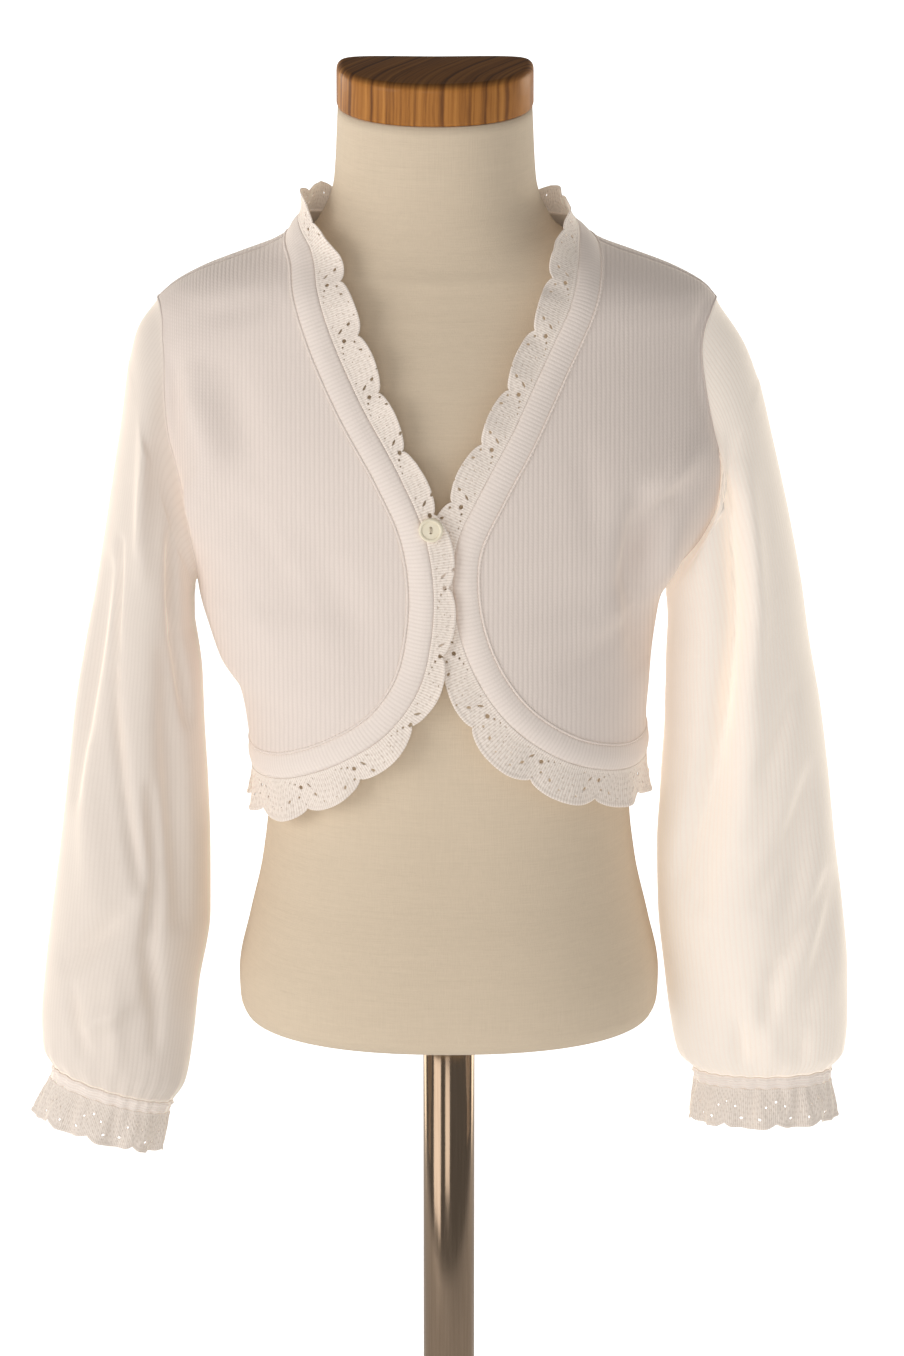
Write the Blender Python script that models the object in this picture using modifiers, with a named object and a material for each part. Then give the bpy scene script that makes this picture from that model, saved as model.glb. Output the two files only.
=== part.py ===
"""A child's knitted cardigan with scalloped lace edges, on a limbless dress form and its stand.

Metres, +Z up. The origin is the middle of the stand's underside, -Y is the front and +X is the
wearer's left. A height called h is measured from the lower edge of the form's torso. Every cloth
piece lies on one smooth body surface, RINGS, or on a sleeve's own rings.
"""
import math

import bmesh
import bpy
import numpy as np

# Stand
TORSO_HEIGHT = 0.262          # the torso's lower edge above the floor
BASE_RADIUS = 0.125
BASE_THICKNESS = 0.010
BASE_EDGE = 0.002
POLE_RADIUS = 0.0125
SEAT_GAP = 0.0003             # between pieces that stand on each other

# Dress form
CAP_TOP = 0.4617
CAP_BOTTOM = 0.4415
CAP_EDGE = 0.004
TORSO_TOP = 0.4412
LEAN = 0.0065                 # the shoulders stand this far towards -X
LEAN_START = 0.12
LEAN_RISE = 0.18

# Cloth
SEAM_GAP = 0.0003
PANEL_WALL = 0.0018
SLEEVE_WALL = 0.0018
BAND_WALL = 0.0018
LACE_WALL = 0.0011
BAND_WIDTH = 0.0122
SCALLOP_PITCH = 0.030
SCALLOP_DIP = 0.0045
LACE_WAVE = 0.0016
OVERLAP_LIFT = 0.0030         # the right front's edge rises this much over the left one
OVERLAP_MIDDLE = 0.231
OVERLAP_REACH = 0.070
UNDERLAP_DROP = 0.0012        # and the left edge sinks this much below it
SIDE_SEAM_END = 0.016         # a front's last row follows the side seam for this much
SIDE_SEAM_X = 0.097           # near the side seam's lower end

# Cells of the cloth grids
ARMHOLE_ROWS = 11
FRONT_ROWS = 20
FRONT_COLUMNS = 11
BACK_ROWS = 17
SHOULDER_COLUMNS = 4
NECK_COLUMNS = 6
BACK_COLUMNS = 2 * SHOULDER_COLUMNS + 2 * NECK_COLUMNS
SLEEVE_ROWS_DOWN = 18
LACE_CELLS = {-1: 3, 0: 2, 1: 3}      # across each station of the seam
TORSO_ROWS = 24
ROUND_COLUMNS = 28

# Sleeves
SLEEVE_RADIUS = 0.036         # of the sheet on which the sleeve's folds are laid out
SLEEVE_HEAD = 0.20            # share of the sleeve that takes the armhole's form
ARMHOLE_TOP = 0.3500
ARMHOLE_HALF_DEPTH = 0.027
ARMHOLE_POWER = 2.6
ARMHOLE_BOTTOM = {-1: 0.2120, 1: 0.2080}

# Cuffs
CUFF_BAND_DEPTH = 0.0060
CUFF_LACE_DEPTH = {-1: 0.0206, 1: 0.0204}
CUFF_SCALLOPS = 9
CUFF_FLARE = 0.0010
CUFF_WAVE = 0.0014
CUFF_DIP = 0.0030
CUFF_BAND_ROUND = 0.0006

# Button
BUTTON_H = 0.2543
BUTTON_INSET = 0.0158         # from the seam between the front and its band
BUTTON_RADIUS = 0.0058
BUTTON_THICKNESS = 0.0026
BUTTON_RIM = 0.0007
BUTTON_RIM_FOOT = 0.0012      # how far the rim's inner slope reaches in, at its foot
BUTTON_RIM_TOP = 0.0004       # and at its top

# The cloth's body surface: at each h its reach from the leaning middle, and how square it is
RINGS = (
    # h, right, left, front, back, power
    (0.060, 0.0940, 0.0945, 0.0770, 0.0745, 2.30),
    (0.112, 0.0945, 0.0950, 0.0775, 0.0750, 2.30),
    (0.144, 0.0970, 0.0952, 0.0785, 0.0755, 2.30),
    (0.160, 0.0998, 0.0968, 0.0790, 0.0760, 2.30),
    (0.175, 0.1085, 0.0986, 0.0796, 0.0765, 2.25),
    (0.190, 0.1128, 0.1012, 0.0801, 0.0770, 2.20),
    (0.204, 0.1160, 0.1045, 0.0805, 0.0775, 2.20),
    (0.217, 0.1176, 0.1110, 0.0806, 0.0780, 2.10),
    (0.240, 0.1240, 0.1320, 0.0804, 0.0785, 2.00),
    (0.260, 0.1290, 0.1440, 0.0795, 0.0785, 1.90),
    (0.276, 0.1330, 0.1460, 0.0780, 0.0780, 1.90),
    (0.290, 0.1370, 0.1430, 0.0760, 0.0770, 1.90),
    (0.315, 0.1400, 0.1390, 0.0705, 0.0740, 1.85),
    (0.333, 0.1390, 0.1360, 0.0655, 0.0700, 1.80),
    (0.345, 0.1350, 0.1352, 0.0625, 0.0665, 1.75),
    (0.355, 0.1265, 0.1295, 0.0600, 0.0635, 1.75),
    (0.3625, 0.1140, 0.1175, 0.0582, 0.0605, 1.75),
    (0.369, 0.0975, 0.1010, 0.0566, 0.0570, 1.75),
    (0.3755, 0.0800, 0.0830, 0.0552, 0.0535, 1.80),
    (0.382, 0.0695, 0.0715, 0.0540, 0.0510, 1.90),
    (0.390, 0.0645, 0.0650, 0.0528, 0.0495, 2.00),
    (0.398, 0.0615, 0.0610, 0.0518, 0.0485, 2.10),
    (0.408, 0.0592, 0.0585, 0.0510, 0.0478, 2.10),
    (0.430, 0.0570, 0.0565, 0.0500, 0.0470, 2.10),
)

# The dress form's sections: half width, reach to front and back of middle_y, and squareness
FORM = (
    # h, half_width, front, back, middle_y, front_power, back_power
    (-0.0090, 0.0860, 0.0590, 0.0570, 0.000, 2.3, 2.3),
    (-0.0082, 0.0930, 0.0660, 0.0640, 0.000, 2.3, 2.3),
    (-0.0050, 0.0990, 0.0722, 0.0702, 0.000, 2.3, 2.3),
    (0.0020, 0.1015, 0.0757, 0.0737, 0.000, 2.3, 2.3),
    (0.0140, 0.1020, 0.0762, 0.0742, 0.000, 2.3, 2.3),
    (0.0400, 0.0970, 0.0745, 0.0720, 0.000, 2.3, 2.3),
    (0.0700, 0.0905, 0.0705, 0.0680, 0.000, 2.3, 2.3),
    (0.1000, 0.0875, 0.0685, 0.0660, 0.000, 2.3, 2.3),
    (0.1500, 0.0890, 0.0700, 0.0665, 0.000, 2.3, 2.3),
    (0.2000, 0.0935, 0.0740, 0.0690, 0.000, 2.3, 2.3),
    (0.2350, 0.0970, 0.0750, 0.0700, 0.000, 2.3, 2.3),
    (0.2750, 0.1005, 0.0705, 0.0700, 0.000, 2.2, 2.2),
    (0.3150, 0.1050, 0.0610, 0.0660, 0.000, 2.0, 2.0),
    (0.3380, 0.1085, 0.0530, 0.0580, 0.000, 1.9, 1.9),
    (0.3520, 0.1120, 0.0480, 0.0520, 0.000, 1.8, 1.8),
    (0.3600, 0.1087, 0.0455, 0.0480, 0.000, 1.8, 1.8),
    (0.3670, 0.0958, 0.0440, 0.0450, 0.000, 1.8, 1.8),
    (0.3740, 0.0750, 0.0430, 0.0400, 0.002, 2.0, 2.2),
    (0.3850, 0.0565, 0.0440, 0.0320, 0.006, 2.2, 2.8),
    (0.4050, 0.0485, 0.0455, 0.0210, 0.010, 2.2, 4.0),
    (0.4412, 0.0466, 0.0460, 0.0150, 0.011, 2.2, 5.0),
)

# The seam between the panels and the band, from the middle of the back neck round the right
# front, the hem and the left front. The face is -1 on the front and 1 on the back.
OPENING = (
    # x, h, face
    (-0.0065, 0.3700, 1),
    (-0.0420, 0.3715, 1),
    (-0.0665, 0.3760, 1),
    (-0.0774, 0.3799, -1),
    (-0.0745, 0.3730, -1),
    (-0.0731, 0.3615, -1),
    (-0.0670, 0.3427, -1),
    (-0.0533, 0.3129, -1),
    (-0.0332, 0.2769, -1),
    (-0.0235, 0.2550, -1),
    (-0.0192, 0.2291, -1),
    (-0.0202, 0.2069, -1),
    (-0.0254, 0.1843, -1),
    (-0.0372, 0.1661, -1),
    (-0.0563, 0.1513, -1),
    (-0.0755, 0.1405, -1),
    (-0.0955, 0.1315, 1),
    (-0.0700, 0.1305, 1),
    (0.0000, 0.1330, 1),
    (0.0700, 0.1360, 1),
    (0.0945, 0.1385, -1),
    (0.0820, 0.1415, -1),
    (0.0600, 0.1515, -1),
    (0.0374, 0.1698, -1),
    (0.0222, 0.1941, -1),
    (0.0144, 0.2245, -1),
    (0.0149, 0.2450, -1),
    (0.0259, 0.2701, -1),
    (0.0399, 0.2956, -1),
    (0.0536, 0.3238, -1),
    (0.0677, 0.3527, -1),
    (0.0722, 0.3715, -1),
    (0.0700, 0.3790, -1),
    (0.0570, 0.3755, 1),
    (0.0310, 0.3712, 1),
)

# Depth of the lace along the seam
LACE_DEPTHS = (
    # share of the seam's whole length, depth
    (0.00, 0.0200),
    (0.08, 0.0170),
    (0.10, 0.0152),
    (0.14, 0.0165),
    (0.17, 0.0140),
    (0.20, 0.0108),
    (0.23, 0.0115),
    (0.26, 0.0103),
    (0.29, 0.0100),
    (0.31, 0.0135),
    (0.33, 0.0180),
    (0.35, 0.0205),
    (0.40, 0.0195),
    (0.50, 0.0190),
    (0.60, 0.0175),
    (0.65, 0.0180),
    (0.70, 0.0195),
    (0.73, 0.0145),
    (0.79, 0.0145),
    (0.83, 0.0145),
    (0.87, 0.0158),
    (0.90, 0.0165),
    (1.00, 0.0200),
)

# Each sleeve's rings from the armhole to the cuff: its outer and inner line, as seen from in
# front, and its reach to front and back
SLEEVE_ROWS = {
    1: (
        # share, outer x, outer h, inner x, inner h, front, back
        (0.00, 0.1265, 0.3500, 0.1030, 0.2080, 0.0270, 0.0270),
        (0.10, 0.1428, 0.3240, 0.1036, 0.2050, 0.0305, 0.0310),
        (0.25, 0.1547, 0.2790, 0.1044, 0.1985, 0.0345, 0.0360),
        (0.50, 0.1685, 0.2110, 0.1048, 0.1880, 0.0370, 0.0395),
        (0.56, 0.1728, 0.1806, 0.1040, 0.1650, 0.0380, 0.0410),
        (0.62, 0.1785, 0.1480, 0.1040, 0.1380, 0.0380, 0.0415),
        (0.68, 0.1826, 0.1150, 0.1022, 0.1080, 0.0375, 0.0410),
        (0.74, 0.1862, 0.0800, 0.1004, 0.0780, 0.0380, 0.0415),
        (0.80, 0.1902, 0.0480, 0.1010, 0.0480, 0.0395, 0.0420),
        (0.87, 0.1933, 0.0125, 0.1045, 0.0125, 0.0355, 0.0375),
        (0.93, 0.1935, -0.0115, 0.1075, -0.0115, 0.0285, 0.0305),
        (0.97, 0.1918, -0.0290, 0.1115, -0.0290, 0.0220, 0.0235),
        (1.00, 0.1855, -0.0370, 0.1192, -0.0370, 0.0172, 0.0185),
    ),
    -1: (
        # share, outer x, outer h, inner x, inner h, front, back
        (0.00, 0.1375, 0.3500, 0.1200, 0.2120, 0.0270, 0.0270),
        (0.10, 0.1490, 0.3330, 0.1208, 0.2080, 0.0300, 0.0305),
        (0.25, 0.1570, 0.2830, 0.1216, 0.2010, 0.0340, 0.0355),
        (0.50, 0.1688, 0.2080, 0.1215, 0.1900, 0.0360, 0.0390),
        (0.56, 0.1745, 0.1780, 0.1182, 0.1650, 0.0360, 0.0395),
        (0.62, 0.1795, 0.1480, 0.1173, 0.1380, 0.0365, 0.0400),
        (0.68, 0.1832, 0.1150, 0.1158, 0.1080, 0.0370, 0.0405),
        (0.74, 0.1872, 0.0800, 0.1150, 0.0760, 0.0380, 0.0415),
        (0.80, 0.1914, 0.0480, 0.1152, 0.0430, 0.0385, 0.0420),
        (0.87, 0.1958, 0.0120, 0.1210, 0.0060, 0.0345, 0.0375),
        (0.93, 0.1977, -0.0120, 0.1240, -0.0215, 0.0280, 0.0300),
        (0.97, 0.1970, -0.0270, 0.1282, -0.0440, 0.0220, 0.0235),
        (1.00, 0.1920, -0.0365, 0.1345, -0.0540, 0.0172, 0.0185),
    ),
}

# Soft folds in a sleeve. The angle goes round the sleeve in degrees from its outer line, over
# the front. A positive rise is a ridge and a negative one is a trough.
SLEEVE_FOLDS = {
    1: (
        # start angle, start h, end angle, end h, half width, rise
        (75, 0.285, 125, 0.060, 0.0075, -0.0034),
        (58, 0.270, 96, 0.090, 0.0070, 0.0018),
        (40, 0.110, 75, 0.030, 0.0080, -0.0022),
        (20, 0.060, 60, 0.000, 0.0070, -0.0022),
        (95, 0.010, 80, -0.030, 0.0055, 0.0016),
        (250, 0.260, 300, 0.120, 0.0080, -0.0026),
        (285, 0.100, 240, 0.000, 0.0080, -0.0022),
        (200, 0.150, 215, 0.040, 0.0070, 0.0016),
    ),
    -1: (
        (60, 0.300, 80, 0.225, 0.0060, 0.0020),
        (35, 0.220, 30, 0.110, 0.0075, -0.0026),
        (45, 0.130, 60, 0.060, 0.0080, 0.0018),
        (115, 0.180, 130, 0.050, 0.0075, -0.0028),
        (85, 0.055, 45, 0.025, 0.0065, -0.0022),
        (100, 0.010, 60, -0.010, 0.0060, 0.0018),
        (255, 0.240, 290, 0.110, 0.0080, -0.0026),
        (300, 0.080, 250, 0.010, 0.0075, -0.0022),
    ),
}

# Soft folds in the fronts and the back, as seen from straight in front or behind
PANEL_FOLDS = (
    # face, start x, start h, end x, end h, half width, rise
    (-1, -0.1200, 0.3180, -0.1115, 0.2840, 0.0085, 0.0030),
    (-1, -0.1115, 0.2840, -0.1240, 0.2450, 0.0085, 0.0028),
    (-1, -0.1020, 0.3250, -0.0950, 0.2850, 0.0090, -0.0016),
    (-1, 0.1050, 0.2600, 0.0880, 0.2250, 0.0085, -0.0040),
    (-1, 0.1240, 0.2900, 0.0950, 0.2620, 0.0080, 0.0018),
    (-1, 0.1000, 0.2250, 0.0700, 0.2080, 0.0100, 0.0014),
    (-1, -0.0640, 0.2450, -0.0400, 0.2000, 0.0110, -0.0012),
    (1, -0.1120, 0.2950, -0.0880, 0.2350, 0.0100, -0.0026),
    (1, 0.1140, 0.2950, 0.0920, 0.2400, 0.0100, -0.0026),
    (1, -0.0300, 0.2000, 0.0340, 0.1850, 0.0120, -0.0014),
    (1, 0.0600, 0.1750, 0.0860, 0.1560, 0.0090, 0.0014),
)

# Colours as linear RGB, with roughness and metallic value
FINISHES = {
    "knit": ((0.76, 0.70, 0.64), 0.90, 0.0),
    "rib": ((0.79, 0.74, 0.67), 0.90, 0.0),
    "lace": ((0.83, 0.79, 0.73), 0.85, 0.0),
    "canvas": ((0.62, 0.52, 0.38), 0.88, 0.0),
    "wood": ((0.20, 0.09, 0.04), 0.45, 0.0),
    "steel": ((0.56, 0.54, 0.52), 0.28, 1.0),
    "ivory": ((0.83, 0.79, 0.67), 0.35, 0.0),
}


def clear_scene():
    for thing in list(bpy.data.objects):
        bpy.data.objects.remove(thing)


def finish(name):
    """The material of that finish, made the first time it is asked for."""
    if name in bpy.data.materials:
        return bpy.data.materials[name]
    colour, roughness, metallic = FINISHES[name]
    material = bpy.data.materials.new(name)
    material.use_nodes = True
    shader = material.node_tree.nodes["Principled BSDF"]
    shader.inputs["Base Color"].default_value = (*colour, 1.0)
    shader.inputs["Roughness"].default_value = roughness
    shader.inputs["Metallic"].default_value = metallic
    return material


def curve_through(rows, at, eased=True):
    """Read a table at the given places of its first column, on a smooth curve through its rows.

    An eased curve never swings past its rows, and suits sizes. The other kind suits a route.
    """
    table = np.array(rows, dtype=float)
    knots = table[:, 0]
    values = table[:, 1:]
    steps = np.diff(knots)[:, None]
    rises = np.diff(values, axis=0) / steps
    slopes = np.zeros_like(values)
    slopes[0] = rises[0]
    slopes[-1] = rises[-1]
    before = rises[:-1]
    after = rises[1:]
    if eased:
        both = before * after
        total = np.where(both > 0, before + after, 1.0)
        slopes[1:-1] = np.where(both > 0, 2.0 * both / total, 0.0)
    else:
        slopes[1:-1] = (before * steps[1:] + after * steps[:-1]) / (steps[1:] + steps[:-1])
    at = np.clip(np.asarray(at, dtype=float), knots[0], knots[-1])
    left = np.clip(np.searchsorted(knots, at, side="right") - 1, 0, len(knots) - 2)
    step = steps[left]
    t = ((at - knots[left])[..., None]) / step
    return (
        (1 + 2 * t) * (1 - t) ** 2 * values[left]
        + t * (1 - t) ** 2 * step * slopes[left]
        + t ** 2 * (3 - 2 * t) * values[left + 1]
        + t ** 2 * (t - 1) * step * slopes[left + 1]
    )


def ease(t):
    """Rises smoothly from 0 to 1 as t goes from 0 to 1."""
    t = np.clip(t, 0.0, 1.0)
    return t * t * (3.0 - 2.0 * t)


def lean(h):
    """How far the middle of the body has moved in X at height h."""
    return -LEAN * ease((np.asarray(h) - LEAN_START) / LEAN_RISE)


def unit(vectors):
    return vectors / np.maximum(np.linalg.norm(vectors, axis=-1, keepdims=True), 1e-12)


def body_reach(points):
    """1 on the cloth's body surface, less inside it and more outside."""
    right, left, front, back, power = np.moveaxis(curve_through(RINGS, points[..., 2]), -1, 0)
    x = points[..., 0] - lean(points[..., 2])
    y = points[..., 1]
    across = np.abs(x) / np.where(x < 0, right, left)
    along = np.abs(y) / np.where(y < 0, front, back)
    return (across ** power + along ** power + 1e-12) ** (1.0 / power)


def body_slope(points):
    """The gradient of body_reach, which points straight out of the cloth."""
    step = 0.0002
    slope = np.zeros_like(points)
    for axis in range(3):
        shift = np.zeros(3)
        shift[axis] = step
        slope[..., axis] = (body_reach(points + shift) - body_reach(points - shift)) / (2 * step)
    return slope


def settle(points):
    """Move points straight onto the body surface, in short steps."""
    longest = 0.006
    points = np.array(points, dtype=float)
    for _ in range(14):
        slope = body_slope(points)
        size = np.sum(slope * slope, axis=-1, keepdims=True)
        move = slope * ((body_reach(points) - 1.0)[..., None] / size)
        length = np.linalg.norm(move, axis=-1, keepdims=True)
        points -= move * np.minimum(1.0, longest / np.maximum(length, 1e-9))
    return points


def on_face(x, h, face):
    """The point of the body surface at x and h, on the front for a face of -1."""
    right, left, front, back, power = curve_through(RINGS, h)
    across = x - float(lean(h))
    share = min(1.0, abs(across) / (right if across < 0 else left))
    reach = front if face < 0 else back
    return np.array((x, face * reach * (1.0 - share ** power) ** (1.0 / power), h))


def fold_rise(across, up, folds):
    """Sum of soft ridges and troughs, each along a line between two places."""
    rise = np.zeros_like(across)
    for x0, h0, x1, h1, half_width, height in folds:
        line = np.array((x1 - x0, h1 - h0))
        length = np.hypot(*line)
        along = ((across - x0) * line[0] + (up - h0) * line[1]) / length ** 2
        inside = np.clip(along, 0.0, 1.0)
        away = np.hypot(across - x0 - inside * line[0], up - h0 - inside * line[1])
        fade = 0.45 + 0.55 * np.sin(math.pi * inside)
        rise += height * fade * np.exp(-(away / half_width) ** 2)
    return rise


class Route:
    """The seam round the opening. It is read between stations, where every piece has a point."""

    def __init__(self):
        points = [on_face(*row) for row in OPENING]
        points.append(points[0])
        lengths = [np.linalg.norm(b - a) for a, b in zip(points, points[1:])]
        knots = np.concatenate(([0.0], np.cumsum(lengths)))
        knots /= knots[-1]
        rows = [(knot, *point) for knot, point in zip(knots, points)]
        before = [(knots[-2] - 1.0, *points[-2])]
        after = [(1.0 + knots[1], *points[1])]
        share = np.linspace(0.0, 1.0, 1601)[:-1]
        path = settle(curve_through(before + rows + after, share, eased=False))
        pieces = np.linalg.norm(np.roll(path, -1, axis=0) - path, axis=1)
        self.length = pieces.sum()
        self.places = np.concatenate(([0.0], np.cumsum(pieces)))
        ahead = unit(np.roll(path, -1, axis=0) - np.roll(path, 1, axis=0))
        inward = unit(np.cross(unit(body_slope(path)), ahead))
        self.path = np.vstack((path, path[:1]))
        self.inward = np.vstack((inward, inward[:1]))
        self.neck = {side: self.crossing(side, high=True) for side in (-1, 1)}
        self.side_seam = {side: self.crossing(side, high=False) for side in (-1, 1)}
        self.stations = np.concatenate((
            np.linspace(0.0, self.neck[-1], NECK_COLUMNS + 1)[:-1],
            np.linspace(self.neck[-1], self.side_seam[-1], FRONT_ROWS + 1)[:-1],
            np.linspace(self.side_seam[-1], self.side_seam[1], BACK_COLUMNS + 1)[:-1],
            np.linspace(self.side_seam[1], self.neck[1], FRONT_ROWS + 1)[:-1],
            np.linspace(self.neck[1], self.length, NECK_COLUMNS + 1),
        ))

    def crossing(self, side, high):
        """The place where the route crosses from the front to the back, at neck or hem."""
        fits = (self.path[:, 0] * side > 0.03) & ((self.path[:, 2] > 0.3) == high)
        return self.places[np.argmin(np.where(fits, np.abs(self.path[:, 1]), 1.0))]

    def read(self, values, place):
        return np.stack([np.interp(place, self.places, column) for column in values.T], axis=-1)

    def at(self, place, distance, lift=None):
        """Points at that distance into the opening and lifted from the surface, with normals."""
        place = np.clip(place, 0.0, self.length)
        left = np.searchsorted(self.stations, place, side="right") - 1
        left = np.clip(left, 0, len(self.stations) - 2)
        low = self.stations[left]
        high = self.stations[left + 1]
        share = ((place - low) / (high - low))[:, None]
        points = 0.0
        for station, weight in ((low, 1.0 - share), (high, share)):
            inward = unit(self.read(self.inward, station))
            start = self.read(self.path, station)
            points = points + weight * settle(start + inward * distance[:, None])
        normals = unit(body_slope(points))
        if lift is not None:
            points = points + normals * lift[:, None]
        return points, normals


def make_sheet(name, shape, columns, rows, wall, material, closed=False):
    """A cloth wall: a slab of grid cells, laid out by shape(u, v, depth) with depth into it."""
    mesh = bmesh.new()
    bmesh.ops.create_grid(mesh, x_segments=columns, y_segments=rows, size=1.0)
    grown = bmesh.ops.extrude_face_region(mesh, geom=mesh.faces[:], use_keep_orig=True)
    inner = [item for item in grown["geom"] if isinstance(item, bmesh.types.BMVert)]
    bmesh.ops.translate(mesh, verts=inner, vec=(0.0, 0.0, -1.0))
    if closed:
        ends = [face for face in mesh.faces
                if all(abs(vert.co.x) > 0.999 for vert in face.verts)]
        bmesh.ops.delete(mesh, geom=ends, context="FACES")
    u = np.array([(vert.co.x + 1.0) / 2.0 for vert in mesh.verts])
    v = np.array([(vert.co.y + 1.0) / 2.0 for vert in mesh.verts])
    depth = np.array([-vert.co.z * wall for vert in mesh.verts])
    for vert, point in zip(mesh.verts, shape(u, v, depth)):
        vert.co = point
        vert.co.z += TORSO_HEIGHT
    if closed:
        bmesh.ops.remove_doubles(mesh, verts=mesh.verts, dist=1e-6)
    bmesh.ops.triangulate(mesh, faces=mesh.faces)
    if mesh.calc_volume(signed=True) < 0.0:
        bmesh.ops.reverse_faces(mesh, faces=mesh.faces)
    data = bpy.data.meshes.new(name)
    mesh.to_mesh(data)
    mesh.free()
    data.shade_smooth()
    data.set_sharp_from_angle(angle=math.radians(60))
    data.materials.append(finish(material))
    piece = bpy.data.objects.new(name, data)
    model.objects.link(piece)
    return piece


def panel_points(points, free, face, depth):
    """Settle a panel's points, raise its folds where it is free, and keep it to its own side."""
    points = settle(points)
    normals = unit(body_slope(points))
    folds = [row[1:] for row in PANEL_FOLDS if row[0] == face]
    rise = fold_rise(points[:, 0], points[:, 2], folds) * free * ease(np.abs(points[:, 1]) / 0.02)
    points = points + normals * (rise - depth)[:, None]
    points[:, 1] = face * np.maximum(face * points[:, 1], SEAM_GAP / 2.0)
    return points


def armhole(side, angle):
    """The armhole seam on the body surface. The angle is 0 at the shoulder, pi/2 in front."""
    middle = (ARMHOLE_TOP + ARMHOLE_BOTTOM[side]) / 2.0
    half = (ARMHOLE_TOP - ARMHOLE_BOTTOM[side]) / 2.0
    power = 2.0 / ARMHOLE_POWER
    up = np.sign(np.cos(angle)) * np.abs(np.cos(angle)) ** power
    forward = np.sign(np.sin(angle)) * np.abs(np.sin(angle)) ** power
    h = middle + half * up
    y = -ARMHOLE_HALF_DEPTH * forward
    right, left, front, back, square = np.moveaxis(curve_through(RINGS, h), -1, 0)
    reach = left if side > 0 else right
    share = np.abs(y) / np.where(y < 0, front, back)
    x = lean(h) + side * reach * (1.0 - share ** square) ** (1.0 / square)
    return np.stack((x, y, h), axis=-1)


def side_edge(side, face, v, low_h, rows):
    """The outer edge of a panel: the armhole, with the sleeve's own points, then the side seam."""
    row = v * rows
    hole = armhole(side, -face * math.pi * np.minimum(row / ARMHOLE_ROWS, 1.0))
    low = settle(np.array([[lean(low_h) + side * SIDE_SEAM_X, 0.0, low_h]]))[0]
    under = hole[np.argmin(hole[:, 2])] * (1.0, 0.0, 1.0)
    share = np.clip((row - ARMHOLE_ROWS) / (rows - ARMHOLE_ROWS), 0.0, 1.0)[:, None]
    seam = settle(under + (low - under) * share)
    return np.where(row[:, None] <= ARMHOLE_ROWS, hole, seam)


def front_panel(side, route):
    """A front, between its curved opening edge, the shoulder, the armhole and the side seam."""
    neck = route.neck[side]
    hem = route.side_seam[side]
    last_h = float(route.read(route.path, np.array([hem]))[0, 2]) + SIDE_SEAM_END

    def shape(u, v, depth):
        outer = side_edge(side, -1, v, last_h, FRONT_ROWS)
        inner = route.at(neck + (hem - neck) * v, np.full_like(v, -SEAM_GAP / 2.0))[0]
        free = ease(u / 0.12) * ease((1.0 - u) / 0.10)
        return panel_points(inner + (outer - inner) * u[:, None], free, -1, depth)

    name = "front_left" if side > 0 else "front_right"
    make_sheet(name, shape, FRONT_COLUMNS, FRONT_ROWS, PANEL_WALL, "knit")


def back_panel(route):
    """The back, a patch between both side edges, the shoulders with the neck, and the hem."""
    low = {side: float(route.read(route.path, np.array([route.side_seam[side]]))[0, 2])
           for side in (-1, 1)}
    shoulder = {side: armhole(side, np.array([0.0])) for side in (-1, 1)}
    one = np.array([0.0])
    neck_end = {side: route.at(one + route.neck[side], one - SEAM_GAP / 2.0)[0]
                for side in (-1, 1)}

    def top_edge(u):
        column = u * BACK_COLUMNS
        across = BACK_COLUMNS - 2 * SHOULDER_COLUMNS
        right = column / SHOULDER_COLUMNS
        left = (BACK_COLUMNS - column) / SHOULDER_COLUMNS
        share = np.clip((column - SHOULDER_COLUMNS) / across, 0.0, 1.0)
        from_middle = 1.0 - 2.0 * share
        place = np.where(share <= 0.5, route.neck[-1] * from_middle,
                         route.length + (route.length - route.neck[1]) * from_middle)
        edge = route.at(place, np.full_like(u, -SEAM_GAP / 2.0))[0]
        for side, way in ((-1, right), (1, left)):
            line = settle(shoulder[side] + (neck_end[side] - shoulder[side]) * way[:, None])
            edge = np.where(way[:, None] < 1.0, line, edge)
        return edge

    def shape(u, v, depth):
        u1 = u[:, None]
        v1 = v[:, None]
        hem_place = route.side_seam[-1] + (route.side_seam[1] - route.side_seam[-1]) * u
        bottom = route.at(hem_place, np.full_like(u, -SEAM_GAP / 2.0))[0]
        right = side_edge(-1, 1, v, low[-1], BACK_ROWS)
        left = side_edge(1, 1, v, low[1], BACK_ROWS)
        foot = {side: settle(np.array([[side * SIDE_SEAM_X, 0.0, low[side]]]))[0]
                for side in (-1, 1)}
        corners = ((shoulder[-1] * (1 - u1) + shoulder[1] * u1) * (1 - v1)
                   + (foot[-1] * (1 - u1) + foot[1] * u1) * v1)
        points = (right * (1 - u1) + left * u1 + top_edge(u) * (1 - v1) + bottom * v1) - corners
        points = np.where(v1 > 0.9999, bottom, points)
        free = ease(np.minimum(np.minimum(u, 1 - u), np.minimum(v, 1 - v)) / 0.10)
        return panel_points(points, free, 1, depth)

    make_sheet("back", shape, BACK_COLUMNS, BACK_ROWS, PANEL_WALL, "knit")


def edge_lift(route, place, distance, side):
    """How far a band or its lace stands off the surface: the right edge lies over the left."""
    if side == 0:
        return np.zeros_like(distance)
    _, y, h = route.read(route.path, place).T
    near = ease(1.0 - np.abs(h - OVERLAP_MIDDLE) / OVERLAP_REACH) * (y < 0)
    lift = OVERLAP_LIFT if side < 0 else -UNDERLAP_DROP
    return lift * near * ease(distance / BAND_WIDTH)


def edging_stops(route, side):
    """Where a length of band and lace starts and ends, its name, and the stations along it."""
    start, end, which = {
        -1: (0.0, route.side_seam[-1], "right"),
        0: (route.side_seam[-1], route.side_seam[1], "hem"),
        1: (route.side_seam[1], route.length, "left"),
    }[side]
    along = (route.stations > start - 1e-9) & (route.stations < end + 1e-9)
    return start, end, which, route.stations[along]


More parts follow.
